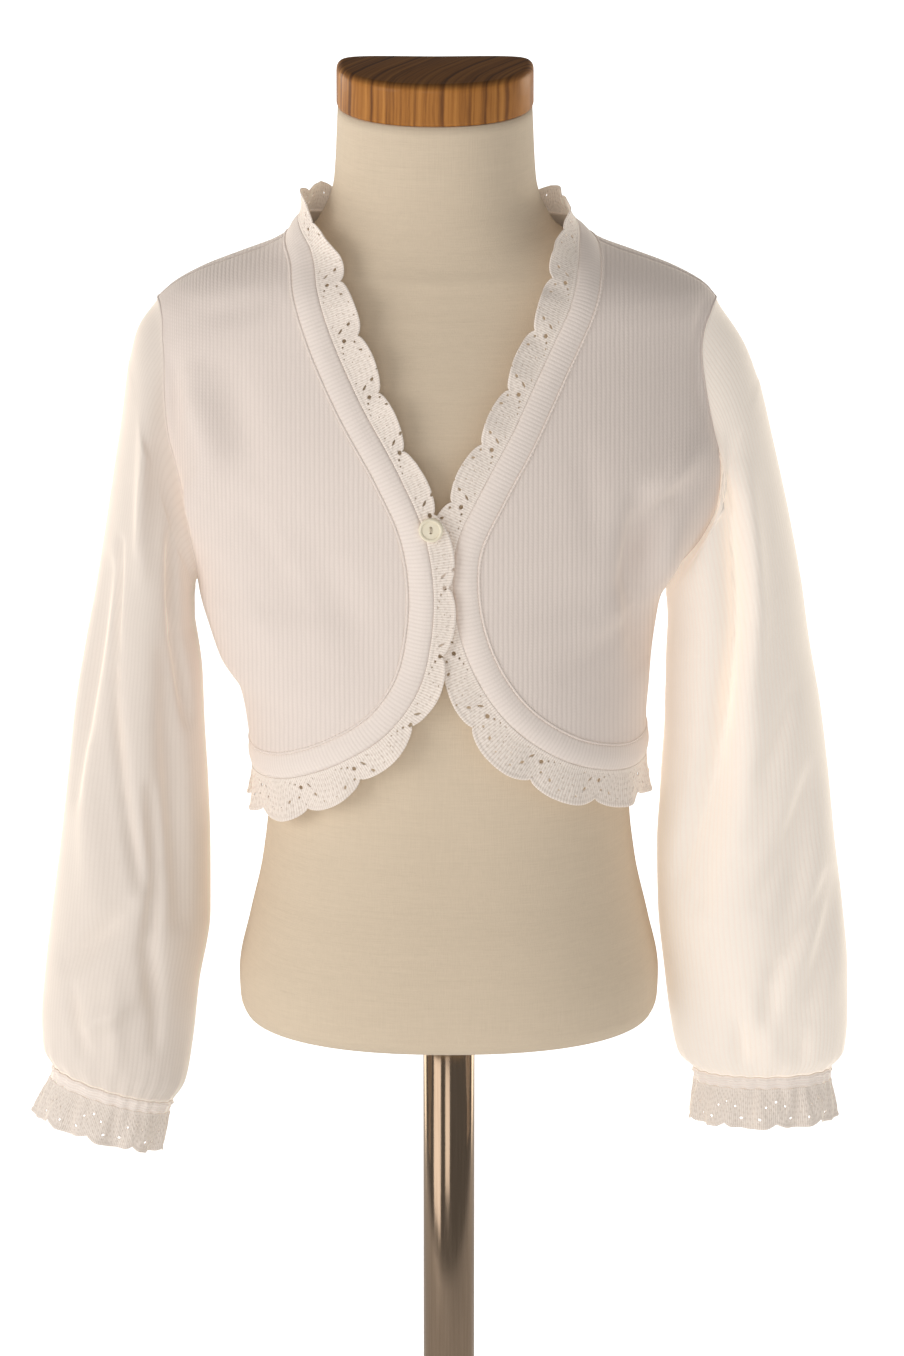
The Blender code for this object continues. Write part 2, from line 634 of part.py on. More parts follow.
def band(route, side):
    """A knitted band along the opening, with a point at each station of the seam."""
    start, end, which, stops = edging_stops(route, side)
    last = len(stops) - 1

    def shape(u, v, depth):
        place = np.interp(u * last, np.arange(last + 1), stops)
        place = np.clip(place, start + SEAM_GAP / 2.0, end - SEAM_GAP / 2.0)
        distance = SEAM_GAP / 2.0 + (BAND_WIDTH - SEAM_GAP) * v
        lift = edge_lift(route, place, distance, side)
        return route.at(place, distance, lift - depth)[0]

    make_sheet("band_" + which, shape, last, 1, BAND_WALL, "rib")


def lace(route, side):
    """A scalloped lace edging along the band, with a soft wave in each scallop."""
    start, end, which, stops = edging_stops(route, side)
    last = len(stops) - 1
    scallops = round((end - start) / SCALLOP_PITCH)

    def shape(u, v, depth):
        place = np.interp(u * last, np.arange(last + 1), stops)
        place = np.clip(place, start + SEAM_GAP / 2.0, end - SEAM_GAP / 2.0)
        deep = curve_through(LACE_DEPTHS, place / route.length)[..., 0]
        turn = math.pi * scallops * (place - start) / (end - start)
        dip = SCALLOP_DIP * (1.0 - np.sqrt(np.abs(np.sin(turn))))
        distance = BAND_WIDTH + SEAM_GAP / 2.0 + (deep - dip) * v
        _, y, h = route.read(route.path, place).T
        pressed = ease(np.abs(h - OVERLAP_MIDDLE) / OVERLAP_REACH - 0.15)
        free = np.where(y < 0, pressed, 1.0)
        wave = LACE_WAVE * free * v ** 1.5 * (1.0 - np.cos(2.0 * turn + 0.7))
        lift = wave + edge_lift(route, place, distance, side)
        return route.at(place, distance, lift - depth)[0]

    make_sheet("lace_" + which, shape, last * LACE_CELLS[side], 2, LACE_WALL, "lace")


def sleeve_ring(side, angle, v):
    """A point of the sleeve's rings, with no armhole. The angle is 0 on the outer line."""
    outer_x, outer_h, inner_x, inner_h, front, back = np.moveaxis(
        curve_through(SLEEVE_ROWS[side], v), -1, 0)
    out = np.cos(angle)
    forward = np.sin(angle)
    x = side * ((outer_x + inner_x) + (outer_x - inner_x) * out) / 2.0
    h = ((outer_h + inner_h) + (outer_h - inner_h) * out) / 2.0
    y = -np.where(forward > 0, front, back) * forward
    return np.stack((x, y, h), axis=-1)


def sleeve_point(side, angle, v):
    """A point of the sleeve, which starts on the armhole seam and soon follows its rings."""
    start = sleeve_ring(side, angle, np.zeros_like(v))
    away = unit(sleeve_ring(side, angle, np.full_like(v, 0.02)) - start)
    seam = armhole(side, angle) + away * SEAM_GAP
    hold = 1.0 - ease(v / SLEEVE_HEAD)
    return sleeve_ring(side, angle, v) + (seam - start) * hold[..., None]


def sleeve_surface(side, u, v):
    """Sleeve points with their folds, and the way out of the tube. v goes down the sleeve."""
    angle = 2.0 * math.pi * u
    points = sleeve_point(side, angle, v)
    small = 0.001
    round_way = sleeve_point(side, angle + small, v) - sleeve_point(side, angle - small, v)
    down_way = (sleeve_point(side, angle, np.minimum(v + small, 1.0))
                - sleeve_point(side, angle, np.maximum(v - small, 0.0)))
    outward = unit(np.cross(round_way, down_way)) * side
    folds = [(math.radians(a0) * SLEEVE_RADIUS, h0, math.radians(a1) * SLEEVE_RADIUS, h1,
              half_width, rise)
             for a0, h0, a1, h1, half_width, rise in SLEEVE_FOLDS[side]]
    rise = np.zeros_like(v)
    for turn in (-1.0, 0.0, 1.0):
        rise += fold_rise((angle + turn * 2.0 * math.pi) * SLEEVE_RADIUS, points[:, 2], folds)
    rise *= ease(v / 0.06) * ease((1.0 - v) / 0.05)
    return points + outward * rise[:, None], outward


def sleeve(side):
    def shape(u, v, depth):
        points, outward = sleeve_surface(side, u, v)
        return points - outward * depth[:, None]

    name = "sleeve_left" if side > 0 else "sleeve_right"
    make_sheet(name, shape, 2 * ARMHOLE_ROWS, SLEEVE_ROWS_DOWN, SLEEVE_WALL, "knit", closed=True)


def cuff_surface(side, u, below, flare):
    """Points that hang below the sleeve's end, and stand out from it by the flare."""
    rim = sleeve_surface(side, u, np.ones_like(u))[0]
    middle = sleeve_point(side, np.array([0.0, math.pi]), np.array([1.0, 1.0])).mean(axis=0)
    outer_x, outer_h, inner_x, inner_h = SLEEVE_ROWS[side][-1][1:5]
    down = unit(np.array((side * (outer_h - inner_h), 0.0, inner_x - outer_x)))
    radial = rim - middle
    radial = unit(radial - (radial @ down)[:, None] * down)
    return rim + down * below[:, None] + radial * flare[:, None]


def cuff(side):
    """The cuff's knitted band and its gathered lace."""
    which = "left" if side > 0 else "right"

    def band_shape(u, v, depth):
        return cuff_surface(side, u, SEAM_GAP + CUFF_BAND_DEPTH * v,
                            CUFF_BAND_ROUND * np.sin(math.pi * v) - depth)

    def lace_shape(u, v, depth):
        turn = CUFF_SCALLOPS * 2.0 * math.pi * u
        lobes = 1.0 - np.sqrt(np.abs(np.sin(turn / 2.0)))
        below = 2.0 * SEAM_GAP + CUFF_BAND_DEPTH + (CUFF_LACE_DEPTH[side] - CUFF_DIP * lobes) * v
        flare = CUFF_FLARE * np.sin(0.75 * math.pi * v)
        wave = CUFF_WAVE * v ** 1.3 * (1.0 + np.sin(turn + 0.7))
        return cuff_surface(side, u, below, flare + wave - depth)

    make_sheet("cuff_band_" + which, band_shape, 2 * ARMHOLE_ROWS, 2, BAND_WALL, "rib",
               closed=True)
    make_sheet("cuff_lace_" + which, lace_shape, CUFF_SCALLOPS * 6, 2, LACE_WALL, "lace",
               closed=True)


def ring_stack(name, section, columns, rows, material):
    """A solid skin of rings, section(u, v), closed by a flat face at each end."""
    mesh = bmesh.new()
    bmesh.ops.create_grid(mesh, x_segments=columns, y_segments=rows, size=1.0)
    u = np.array([(vert.co.x + 1.0) / 2.0 for vert in mesh.verts])
    v = np.array([(vert.co.y + 1.0) / 2.0 for vert in mesh.verts])
    for vert, point in zip(mesh.verts, section(u, v)):
        vert.co = point
        vert.co.z += TORSO_HEIGHT
    bmesh.ops.remove_doubles(mesh, verts=mesh.verts, dist=1e-6)
    bmesh.ops.holes_fill(mesh, edges=mesh.edges, sides=0)
    bmesh.ops.triangulate(mesh, faces=[face for face in mesh.faces if len(face.verts) == 4])
    bmesh.ops.recalc_face_normals(mesh, faces=mesh.faces)
    data = bpy.data.meshes.new(name)
    mesh.to_mesh(data)
    mesh.free()
    data.shade_smooth()
    data.set_sharp_from_angle(angle=math.radians(50))
    data.materials.append(finish(material))
    solid = bpy.data.objects.new(name, data)
    model.objects.link(solid)
    return solid


def form_section(u, h):
    """Points round the dress form at height h, u going once round."""
    half, front, back, middle_y, front_power, back_power = np.moveaxis(
        curve_through(FORM, h), -1, 0)
    angle = 2.0 * math.pi * u
    power = 2.0 / np.where(np.sin(angle) > 0, front_power, back_power)
    across = np.sign(np.cos(angle)) * np.abs(np.cos(angle)) ** power
    forward = np.sign(np.sin(angle)) * np.abs(np.sin(angle)) ** power
    x = lean(h) + half * across
    y = middle_y - np.where(forward > 0, front, back) * forward
    return np.stack((x, y, h), axis=-1)


def dress_form():
    """The padded torso and the wooden cap on its neck."""
    heights = [row[0] for row in FORM]
    knots = np.linspace(0.0, 1.0, len(heights))

    def torso(u, v):
        return form_section(u, np.interp(v, knots, heights))

    ring_stack("form_torso", torso, ROUND_COLUMNS, TORSO_ROWS, "canvas")

    edge = 0.5 * math.pi / 3.0
    profile = [(CAP_BOTTOM, CAP_EDGE * 0.5), (CAP_BOTTOM + CAP_EDGE * 0.5, 0.0)]
    for step in range(4):
        turn = edge * step
        profile.append((CAP_TOP - CAP_EDGE * (1.0 - math.sin(turn)),
                        CAP_EDGE * (1.0 - math.cos(turn))))

    def cap(u, v):
        places = np.linspace(0.0, 1.0, len(profile))
        h = np.interp(v, places, [row[0] for row in profile])
        inset = np.interp(v, places, [row[1] for row in profile])
        rim = form_section(u, np.full_like(h, TORSO_TOP))
        middle = np.array((float(lean(TORSO_TOP)), FORM[-1][4] - 0.010, TORSO_TOP))
        points = rim + unit(middle - rim) * inset[:, None]
        points[:, 2] = h
        return points

    ring_stack("neck_cap", cap, ROUND_COLUMNS, len(profile) - 1, "wood")


def turned(name, profile, steps, material):
    """A solid of revolution about the stand's axis, from a profile that runs top to bottom."""
    mesh = bmesh.new()
    verts = [mesh.verts.new((radius, 0.0, z)) for radius, z in profile]
    for a, b in zip(verts, verts[1:]):
        mesh.edges.new((a, b))
    data = bpy.data.meshes.new(name)
    mesh.to_mesh(data)
    mesh.free()
    data.materials.append(finish(material))
    solid = bpy.data.objects.new(name, data)
    model.objects.link(solid)
    spin = solid.modifiers.new("turn", "SCREW")
    spin.steps = steps
    spin.render_steps = steps
    spin.use_merge_vertices = True
    spin.merge_threshold = 0.00005
    spin.use_smooth_shade = True
    return solid


def stand():
    top = BASE_THICKNESS
    turned("stand_base", (
        (0.0, top),
        (BASE_RADIUS - BASE_EDGE, top),
        (BASE_RADIUS, top - BASE_EDGE),
        (BASE_RADIUS, BASE_EDGE / 2.0),
        (BASE_RADIUS - BASE_EDGE / 2.0, 0.0),
        (0.0, 0.0),
    ), 48, "steel")
    pole_top = TORSO_HEIGHT + FORM[0][0] - SEAT_GAP
    turned("stand_pole", (
        (0.0, pole_top),
        (POLE_RADIUS, pole_top),
        (POLE_RADIUS, top + SEAT_GAP),
        (0.0, top + SEAT_GAP),
    ), 24, "steel")


def button(route):
    """A small round button with a raised rim, lying on the right front's edge."""
    right = (route.places > route.neck[-1]) & (route.places < route.side_seam[-1])
    away = np.where(right, np.abs(route.path[:, 2] - BUTTON_H), 1.0)
    place = route.places[[np.argmin(away)]]
    inset = np.array([BUTTON_INSET])
    lift = edge_lift(route, place, inset, -1) + SEAT_GAP
    points, normals = route.at(place, inset, lift)
    rim = BUTTON_RADIUS - BUTTON_RIM
    disc = turned("button", (
        (0.0, BUTTON_THICKNESS - BUTTON_RIM),
        (rim - BUTTON_RIM_FOOT, BUTTON_THICKNESS - BUTTON_RIM),
        (rim - BUTTON_RIM_TOP, BUTTON_THICKNESS),
        (rim, BUTTON_THICKNESS),
        (BUTTON_RADIUS, BUTTON_THICKNESS / 2.0),
        (rim, 0.0),
        (0.0, 0.0),
    ), 24, "ivory")
    x, y, z = normals[0]
    disc.rotation_euler = (0.0, math.acos(z), math.atan2(y, x))
    disc.location = points[0]
    disc.location.z += TORSO_HEIGHT


def cardigan():
    route = Route()
    back_panel(route)
    for side in (-1, 1):
        front_panel(side, route)
        sleeve(side)
        cuff(side)
    for side in (-1, 0, 1):
        band(route, side)
        lace(route, side)
    button(route)


clear_scene()
model = bpy.data.collections.new("cardigan_on_dress_form")
bpy.context.scene.collection.children.link(model)
stand()
dress_form()
cardigan()
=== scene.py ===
# %% [markdown]
# # A child's lace-edged cardigan on a dress form
#
# A short knitted cardigan with rounded fronts hangs on a limbless form. Its fronts and its hem are
# edged with a knitted band and gathered scalloped lace, and one button holds it. The solids come
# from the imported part, and this script dresses them: every cloth piece is laid out again on the
# same surface with a much finer grid, with its stitches, its lace holes and its small folds.

# %% Load the frame
import math

import bmesh
import bpy
import numpy as np
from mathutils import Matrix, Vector


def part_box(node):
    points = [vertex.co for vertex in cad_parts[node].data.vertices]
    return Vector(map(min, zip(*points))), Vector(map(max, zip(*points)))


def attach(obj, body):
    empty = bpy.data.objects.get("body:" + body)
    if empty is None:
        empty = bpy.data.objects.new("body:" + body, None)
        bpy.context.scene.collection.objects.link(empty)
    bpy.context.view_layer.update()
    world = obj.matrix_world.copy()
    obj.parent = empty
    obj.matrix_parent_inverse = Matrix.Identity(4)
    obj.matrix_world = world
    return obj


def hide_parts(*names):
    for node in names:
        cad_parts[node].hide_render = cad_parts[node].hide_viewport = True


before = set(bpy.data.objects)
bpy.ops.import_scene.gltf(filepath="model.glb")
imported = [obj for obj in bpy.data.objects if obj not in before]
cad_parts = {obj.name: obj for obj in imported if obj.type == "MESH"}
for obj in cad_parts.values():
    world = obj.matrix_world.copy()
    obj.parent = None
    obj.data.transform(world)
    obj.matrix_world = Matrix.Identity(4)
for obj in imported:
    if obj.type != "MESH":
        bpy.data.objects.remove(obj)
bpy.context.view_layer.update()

# %% [markdown]
# ## The sizes that the pieces share
#
# The part's own tables are repeated here, because the cloth has to lie exactly where its solids
# lie. Single sizes are in metres and tables in millimetres. A height called h is measured from the
# torso's lower edge. -Y is the front and +X is the wearer's left.

# %% Sizes
TORSO_HEIGHT = 0.262
LEAN = 0.0065                 # the body's middle moves this far to the wearer's right
LEAN_START = 0.12
LEAN_RISE = 0.18
BAND_WIDTH = 0.0122
SCALLOP_PITCH = 0.030
SCALLOP_DIP = 0.0045
LACE_WAVE = 0.0016
OVERLAP_LIFT = 0.0030         # at the button the right edge lies this far over the left one
OVERLAP_MIDDLE = 0.231
OVERLAP_REACH = 0.070
UNDERLAP_DROP = 0.0012
SIDE_SEAM_END = 0.016
SIDE_SEAM_X = 0.097
WELD = 1e-6                   # points closer than this are one
SIDES = {-1: "right", 1: "left"}


def in_metres(plain, rows):
    """A table's millimetres as metres. The plain columns, counted from 0, stay as they are."""
    return [tuple(value if column in plain else value * 0.001 for column, value in enumerate(row))
            for row in rows]


# %% The cloth's body surface
# At each height, its reach from the leaning middle and how square it is.
RINGS = in_metres((5,), (
    # h, right, left, front, back, power
    (60, 94, 94.5, 77, 74.5, 2.3),
    (112, 94.5, 95, 77.5, 75, 2.3),
    (144, 97, 95.2, 78.5, 75.5, 2.3),
    (160, 99.8, 96.8, 79, 76, 2.3),
    (175, 108.5, 98.6, 79.6, 76.5, 2.25),
    (190, 112.8, 101.2, 80.1, 77, 2.2),
    (204, 116, 104.5, 80.5, 77.5, 2.2),
    (217, 117.6, 111, 80.6, 78, 2.1),
    (240, 124, 132, 80.4, 78.5, 2),
    (260, 129, 144, 79.5, 78.5, 1.9),
    (276, 133, 146, 78, 78, 1.9),
    (290, 137, 143, 76, 77, 1.9),
    (315, 140, 139, 70.5, 74, 1.85),
    (333, 139, 136, 65.5, 70, 1.8),
    (345, 135, 135.2, 62.5, 66.5, 1.75),
    (355, 126.5, 129.5, 60, 63.5, 1.75),
    (362.5, 114, 117.5, 58.2, 60.5, 1.75),
    (369, 97.5, 101, 56.6, 57, 1.75),
    (375.5, 80, 83, 55.2, 53.5, 1.8),
    (382, 69.5, 71.5, 54, 51, 1.9),
    (390, 64.5, 65, 52.8, 49.5, 2),
    (398, 61.5, 61, 51.8, 48.5, 2.1),
    (408, 59.2, 58.5, 51, 47.8, 2.1),
    (430, 57, 56.5, 50, 47, 2.1),
))

# %% The dress form's sections
FORM = in_metres((5, 6), (
    # h, half_width, front, back, middle_y, front_power, back_power
    (-9, 86, 59, 57, 0, 2.3, 2.3),
    (-8.2, 93, 66, 64, 0, 2.3, 2.3),
    (-5, 99, 72.2, 70.2, 0, 2.3, 2.3),
    (2, 101.5, 75.7, 73.7, 0, 2.3, 2.3),
    (14, 102, 76.2, 74.2, 0, 2.3, 2.3),
    (40, 97, 74.5, 72, 0, 2.3, 2.3),
    (70, 90.5, 70.5, 68, 0, 2.3, 2.3),
    (100, 87.5, 68.5, 66, 0, 2.3, 2.3),
    (150, 89, 70, 66.5, 0, 2.3, 2.3),
    (200, 93.5, 74, 69, 0, 2.3, 2.3),
    (235, 97, 75, 70, 0, 2.3, 2.3),
    (275, 100.5, 70.5, 70, 0, 2.2, 2.2),
    (315, 105, 61, 66, 0, 2, 2),
    (338, 108.5, 53, 58, 0, 1.9, 1.9),
    (352, 112, 48, 52, 0, 1.8, 1.8),
    (360, 108.7, 45.5, 48, 0, 1.8, 1.8),
    (367, 95.8, 44, 45, 0, 1.8, 1.8),
    (374, 75, 43, 40, 2, 2, 2.2),
    (385, 56.5, 44, 32, 6, 2.2, 2.8),
    (405, 48.5, 45.5, 21, 10, 2.2, 4),
    (441.2, 46.6, 46, 15, 11, 2.2, 5),
))

# %% The seam between the panels and the band
OPENING = in_metres((2,), (
    # x, h, face
    (-6.5, 370, 1),
    (-42, 371.5, 1),
    (-66.5, 376, 1),
    (-77.4, 379.9, -1),
    (-74.5, 373, -1),
    (-73.1, 361.5, -1),
    (-67, 342.7, -1),
    (-53.3, 312.9, -1),
    (-33.2, 276.9, -1),
    (-23.5, 255, -1),
    (-19.2, 229.1, -1),
    (-20.2, 206.9, -1),
    (-25.4, 184.3, -1),
    (-37.2, 166.1, -1),
    (-56.3, 151.3, -1),
    (-75.5, 140.5, -1),
    (-95.5, 131.5, 1),
    (-70, 130.5, 1),
    (0, 133, 1),
    (70, 136, 1),
    (94.5, 138.5, -1),
    (82, 141.5, -1),
    (60, 151.5, -1),
    (37.4, 169.8, -1),
    (22.2, 194.1, -1),
    (14.4, 224.5, -1),
    (14.9, 245, -1),
    (25.9, 270.1, -1),
    (39.9, 295.6, -1),
    (53.6, 323.8, -1),
    (67.7, 352.7, -1),
    (72.2, 371.5, -1),
    (70, 379, -1),
    (57, 375.5, 1),
    (31, 371.2, 1),
))

LACE_DEPTHS = in_metres((0,), (
    # share of the seam's whole length, depth
    (0, 20),
    (0.08, 17),
    (0.1, 15.2),
    (0.14, 16.5),
    (0.17, 14),
    (0.2, 10.8),
    (0.23, 11.5),
    (0.26, 10.3),
    (0.29, 10),
    (0.31, 13.5),
    (0.33, 18),
    (0.35, 20.5),
    (0.4, 19.5),
    (0.5, 19),
    (0.6, 17.5),
    (0.65, 18),
    (0.7, 19.5),
    (0.73, 14.5),
    (0.79, 14.5),
    (0.83, 14.5),
    (0.87, 15.8),
    (0.9, 16.5),
    (1, 20),
))

# %% The sleeves' rings
SLEEVE_ROWS = {
    1: in_metres((0,), (
        # share, outer x, outer h, inner x, inner h, front, back
        (0, 126.5, 350, 103, 208, 27, 27),
        (0.1, 142.8, 324, 103.6, 205, 30.5, 31),
        (0.25, 154.7, 279, 104.4, 198.5, 34.5, 36),
        (0.5, 168.5, 211, 104.8, 188, 37, 39.5),
        (0.56, 172.8, 180.6, 104, 165, 38, 41),
        (0.62, 178.5, 148, 104, 138, 38, 41.5),
        (0.68, 182.6, 115, 102.2, 108, 37.5, 41),
        (0.74, 186.2, 80, 100.4, 78, 38, 41.5),
        (0.8, 190.2, 48, 101, 48, 39.5, 42),
        (0.87, 193.3, 12.5, 104.5, 12.5, 35.5, 37.5),
        (0.93, 193.5, -11.5, 107.5, -11.5, 28.5, 30.5),
        (0.97, 191.8, -29, 111.5, -29, 22, 23.5),
        (1, 185.5, -37, 119.2, -37, 17.2, 18.5),
    )),
    -1: in_metres((0,), (
        (0, 137.5, 350, 120, 212, 27, 27),
        (0.1, 149, 333, 120.8, 208, 30, 30.5),
        (0.25, 157, 283, 121.6, 201, 34, 35.5),
        (0.5, 168.8, 208, 121.5, 190, 36, 39),
        (0.56, 174.5, 178, 118.2, 165, 36, 39.5),
        (0.62, 179.5, 148, 117.3, 138, 36.5, 40),
        (0.68, 183.2, 115, 115.8, 108, 37, 40.5),
        (0.74, 187.2, 80, 115, 76, 38, 41.5),
        (0.8, 191.4, 48, 115.2, 43, 38.5, 42),
        (0.87, 195.8, 12, 121, 6, 34.5, 37.5),
        (0.93, 197.7, -12, 124, -21.5, 28, 30),
        (0.97, 197, -27, 128.2, -44, 22, 23.5),
        (1, 192, -36.5, 134.5, -54, 17.2, 18.5),
    )),
}

# %% Folds of the sleeves
# The angle goes round from the outer line over the front, in degrees.
SLEEVE_FOLDS = {
    1: in_metres((0, 2), (
        # start angle, start h, end angle, end h, half width, rise
        (75, 285, 125, 60, 7.5, -3.4),
        (58, 270, 96, 90, 7, 1.8),
        (40, 110, 75, 30, 8, -2.2),
        (20, 60, 60, 0, 7, -2.2),
        (95, 10, 80, -30, 5.5, 1.6),
        (250, 260, 300, 120, 8, -2.6),
        (285, 100, 240, 0, 8, -2.2),
        (200, 150, 215, 40, 7, 1.6),
        (74, 262, 92, 192, 4, -3),
        (92, 192, 115, 132, 4.2, -2.6),
        (115, 132, 140, 66, 4.2, -2.2),
        (62, 262, 80, 192, 5.5, 1.4),
        (80, 192, 102, 132, 5.5, 1.4),
        (47, 162, 80, 125, 4.5, -1.2),
        (38, 120, 85, 60, 4.5, -1.4),
        (28, 66, 78, 24, 4.5, -1.6),
        (78, 24, 90, -14, 4, -1.4),
        (103, -6, 103, -34, 3, -1.8),
        (60, -12, 64, -34, 3, -0.9),
        (310, 180, 330, 80, 5, -1),
        (230, 20, 236, -34, 4, -1),
        (280, 10, 270, -34, 4, 0.9),
    )),
    -1: in_metres((0, 2), (
        (60, 300, 80, 225, 6, 2),
        (35, 220, 30, 110, 7.5, -2.6),
        (45, 130, 60, 60, 8, 1.8),
        (115, 180, 130, 50, 7.5, -2.8),
        (85, 55, 45, 25, 6.5, -2.2),
        (100, 10, 60, -10, 6, 1.8),
        (255, 240, 290, 110, 8, -2.6),
        (300, 80, 250, 10, 7.5, -2.2),
        (62, 335, 66, 300, 2.6, 0.9),
        (66, 300, 74, 235, 2.6, 1.1),
        (48, 236, 64, 171, 3.6, -1.8),
        (64, 171, 81, 112, 3.6, -2),
        (81, 112, 96, 68, 3.6, -1.8),
        (110, 240, 129, 189, 4, -2.4),
        (129, 189, 141, 147, 4, -2.4),
        (102, 116, 109, 67, 4, -2.2),
        (109, 67, 105, 36, 4, -2.4),
        (105, 36, 119, 1, 4, -2.2),
        (119, 1, 121, -20, 3.2, -1.2),
        (52, 12, 66, -22, 3.6, -1.4),
        (84, 20, 92, -30, 4, 0.9),
        (320, 160, 300, 60, 5, -1),
        (240, 10, 246, -40, 4, -1),
    )),
}

# %% Folds of the fronts and the back
PANEL_FOLDS = in_metres((0,), (
    # face, start x, start h, end x, end h, half width, rise
    (-1, -120, 318, -111.5, 284, 8.5, 3),
    (-1, -111.5, 284, -124, 245, 8.5, 2.8),
    (-1, -102, 325, -95, 285, 9, -1.6),
    (-1, 105, 260, 88, 225, 8.5, -4),
    (-1, 124, 290, 95, 262, 8, 1.8),
    (-1, 100, 225, 70, 208, 10, 1.4),
    (-1, -64, 245, -40, 200, 11, -1.2),
    (1, -112, 295, -88, 235, 10, -2.6),
    (1, 114, 295, 92, 240, 10, -2.6),
    (1, -30, 200, 34, 185, 12, -1.4),
    (1, 60, 175, 86, 156, 9, 1.4),
    (-1, -129, 322, -131, 288, 5, -2.2),
    (-1, -132, 262, -132, 232, 5, -1.6),
    (-1, -123, 261, -128, 233, 5, 1.2),
    (-1, -120, 348, -84, 360, 6, -1.2),
    (-1, -95, 260, -70, 215, 7, -0.8),
    (-1, -105, 235, -80, 190, 6, 0.7),
    (-1, 90.5, 266, 87.5, 216, 6.5, -4),
    (-1, 106, 256, 101, 218, 7, 2.4),
    (-1, 88, 224, 92.5, 180, 6.5, -3),
    (-1, 118, 290, 102, 274, 4.5, 0.8),
    (-1, 88, 205, 56, 185, 5.5, -0.8),
    (-1, 64, 290, 70, 245, 7, -0.6),
    (-1, 116, 272, 90, 252, 6, -2),
    (-1, 120.5, 348, 119.5, 306, 3.8, -1.4),
    (1, -100, 325, -70, 300, 6, 0.8),
    (1, 98, 325, 70, 305, 6, -0.8),
    (1, -80, 190, -50, 155, 6, 0.9),
    (1, 45, 230, 80, 205, 6, -0.8),
))

# %% [markdown]
# ## Laying points on the body
#
# The cloth rests on a smooth body: at each height it is a rounded, slightly square ring. A point
# is brought onto it by a few steps along the slope of one function that is 1 on the surface. That
# is quick for tens of thousands of points at once, and needs no mesh to cast rays at.

# %% Curves
def curve_through(rows, at, eased=True):
    """Read a table at the given places of its first column, on a smooth curve through its rows.

    An eased curve never swings past its rows, and suits sizes. The other kind suits a route.
    """
    table = np.array(rows, dtype=float)
    knots = table[:, 0]
    values = table[:, 1:]
    steps = np.diff(knots)[:, None]
    rises = np.diff(values, axis=0) / steps
    slopes = np.zeros_like(values)
    slopes[0] = rises[0]
    slopes[-1] = rises[-1]
    before = rises[:-1]
    after = rises[1:]
    if eased:
        both = before * after
        total = np.where(both > 0, before + after, 1.0)
        slopes[1:-1] = np.where(both > 0, 2.0 * both / total, 0.0)
    else:
        slopes[1:-1] = (before * steps[1:] + after * steps[:-1]) / (steps[1:] + steps[:-1])
    at = np.clip(np.asarray(at, dtype=float), knots[0], knots[-1])
    left = np.clip(np.searchsorted(knots, at, side="right") - 1, 0, len(knots) - 2)
    step = steps[left]
    t = ((at - knots[left])[..., None]) / step
    return (
        (1 + 2 * t) * (1 - t) ** 2 * values[left]
        + t * (1 - t) ** 2 * step * slopes[left]
        + t ** 2 * (3 - 2 * t) * values[left + 1]
        + t ** 2 * (t - 1) * step * slopes[left + 1]
    )


def read_columns(rows, at):
    """The same, with each column of the table by itself."""
    return np.moveaxis(curve_through(rows, at), -1, 0)


def ease(t):
    """Rises smoothly from 0 to 1 as t goes from 0 to 1."""
    t = np.clip(t, 0.0, 1.0)
    return t * t * (3.0 - 2.0 * t)


def squared(angle, power):
    """The cosine and sine of an angle, squared off by the power, where 2 is a plain circle."""
    return [np.sign(wave) * np.abs(wave) ** (2.0 / power)
            for wave in (np.cos(angle), np.sin(angle))]


# %% The body surface
def lean(h):
    """How far the middle of the body has moved in X at height h."""
    return -LEAN * ease((np.asarray(h) - LEAN_START) / LEAN_RISE)


def unit(vectors):
    return vectors / np.maximum(np.linalg.norm(vectors, axis=-1, keepdims=True), 1e-12)


def body_reach(points):
    """1 on the cloth's body surface, less inside it and more outside."""
    right, left, front, back, power = read_columns(RINGS, points[..., 2])
    x = points[..., 0] - lean(points[..., 2])
    y = points[..., 1]
    across = np.abs(x) / np.where(x < 0, right, left)
    along = np.abs(y) / np.where(y < 0, front, back)
    return (across ** power + along ** power + 1e-12) ** (1.0 / power)


def body_slope(points):
    """The gradient of body_reach, which points straight out of the cloth."""
    step = 0.0002
    slope = np.zeros_like(points)
    for axis in range(3):
        shift = np.zeros(3)
        shift[axis] = step
        slope[..., axis] = (body_reach(points + shift) - body_reach(points - shift)) / (2 * step)
    return slope


def settle(points):
    """Move points straight onto the body surface, in short steps."""
    longest = 0.006
    points = np.array(points, dtype=float)
    for _ in range(14):
        slope = body_slope(points)
        size = np.sum(slope * slope, axis=-1, keepdims=True)
        move = slope * ((body_reach(points) - 1.0)[..., None] / size)
        length = np.linalg.norm(move, axis=-1, keepdims=True)
        points -= move * np.minimum(1.0, longest / np.maximum(length, 1e-9))
    return points


def on_face(x, h, face):
    """The point of the body surface at x and h, on the front for a face of -1."""
    right, left, front, back, power = read_columns(RINGS, h)
    across = x - float(lean(h))
    share = min(1.0, abs(across) / (right if across < 0 else left))
    reach = front if face < 0 else back
    return np.array((x, face * reach * (1.0 - share ** power) ** (1.0 / power), h))


# %% Folds as soft ridges and troughs
def fold_rise(across, up, folds):
    """Sum of soft ridges and troughs, each along a line between two places."""
    rise = np.zeros_like(across)
    for x0, h0, x1, h1, half_width, height in folds:
        line = np.array((x1 - x0, h1 - h0))
        along = ((across - x0) * line[0] + (up - h0) * line[1]) / np.hypot(*line) ** 2
        inside = np.clip(along, 0.0, 1.0)
        away = np.hypot(across - x0 - inside * line[0], up - h0 - inside * line[1])
        fade = 0.45 + 0.55 * np.sin(math.pi * inside)
        rise += height * fade * np.exp(-(away / half_width) ** 2)
    return rise


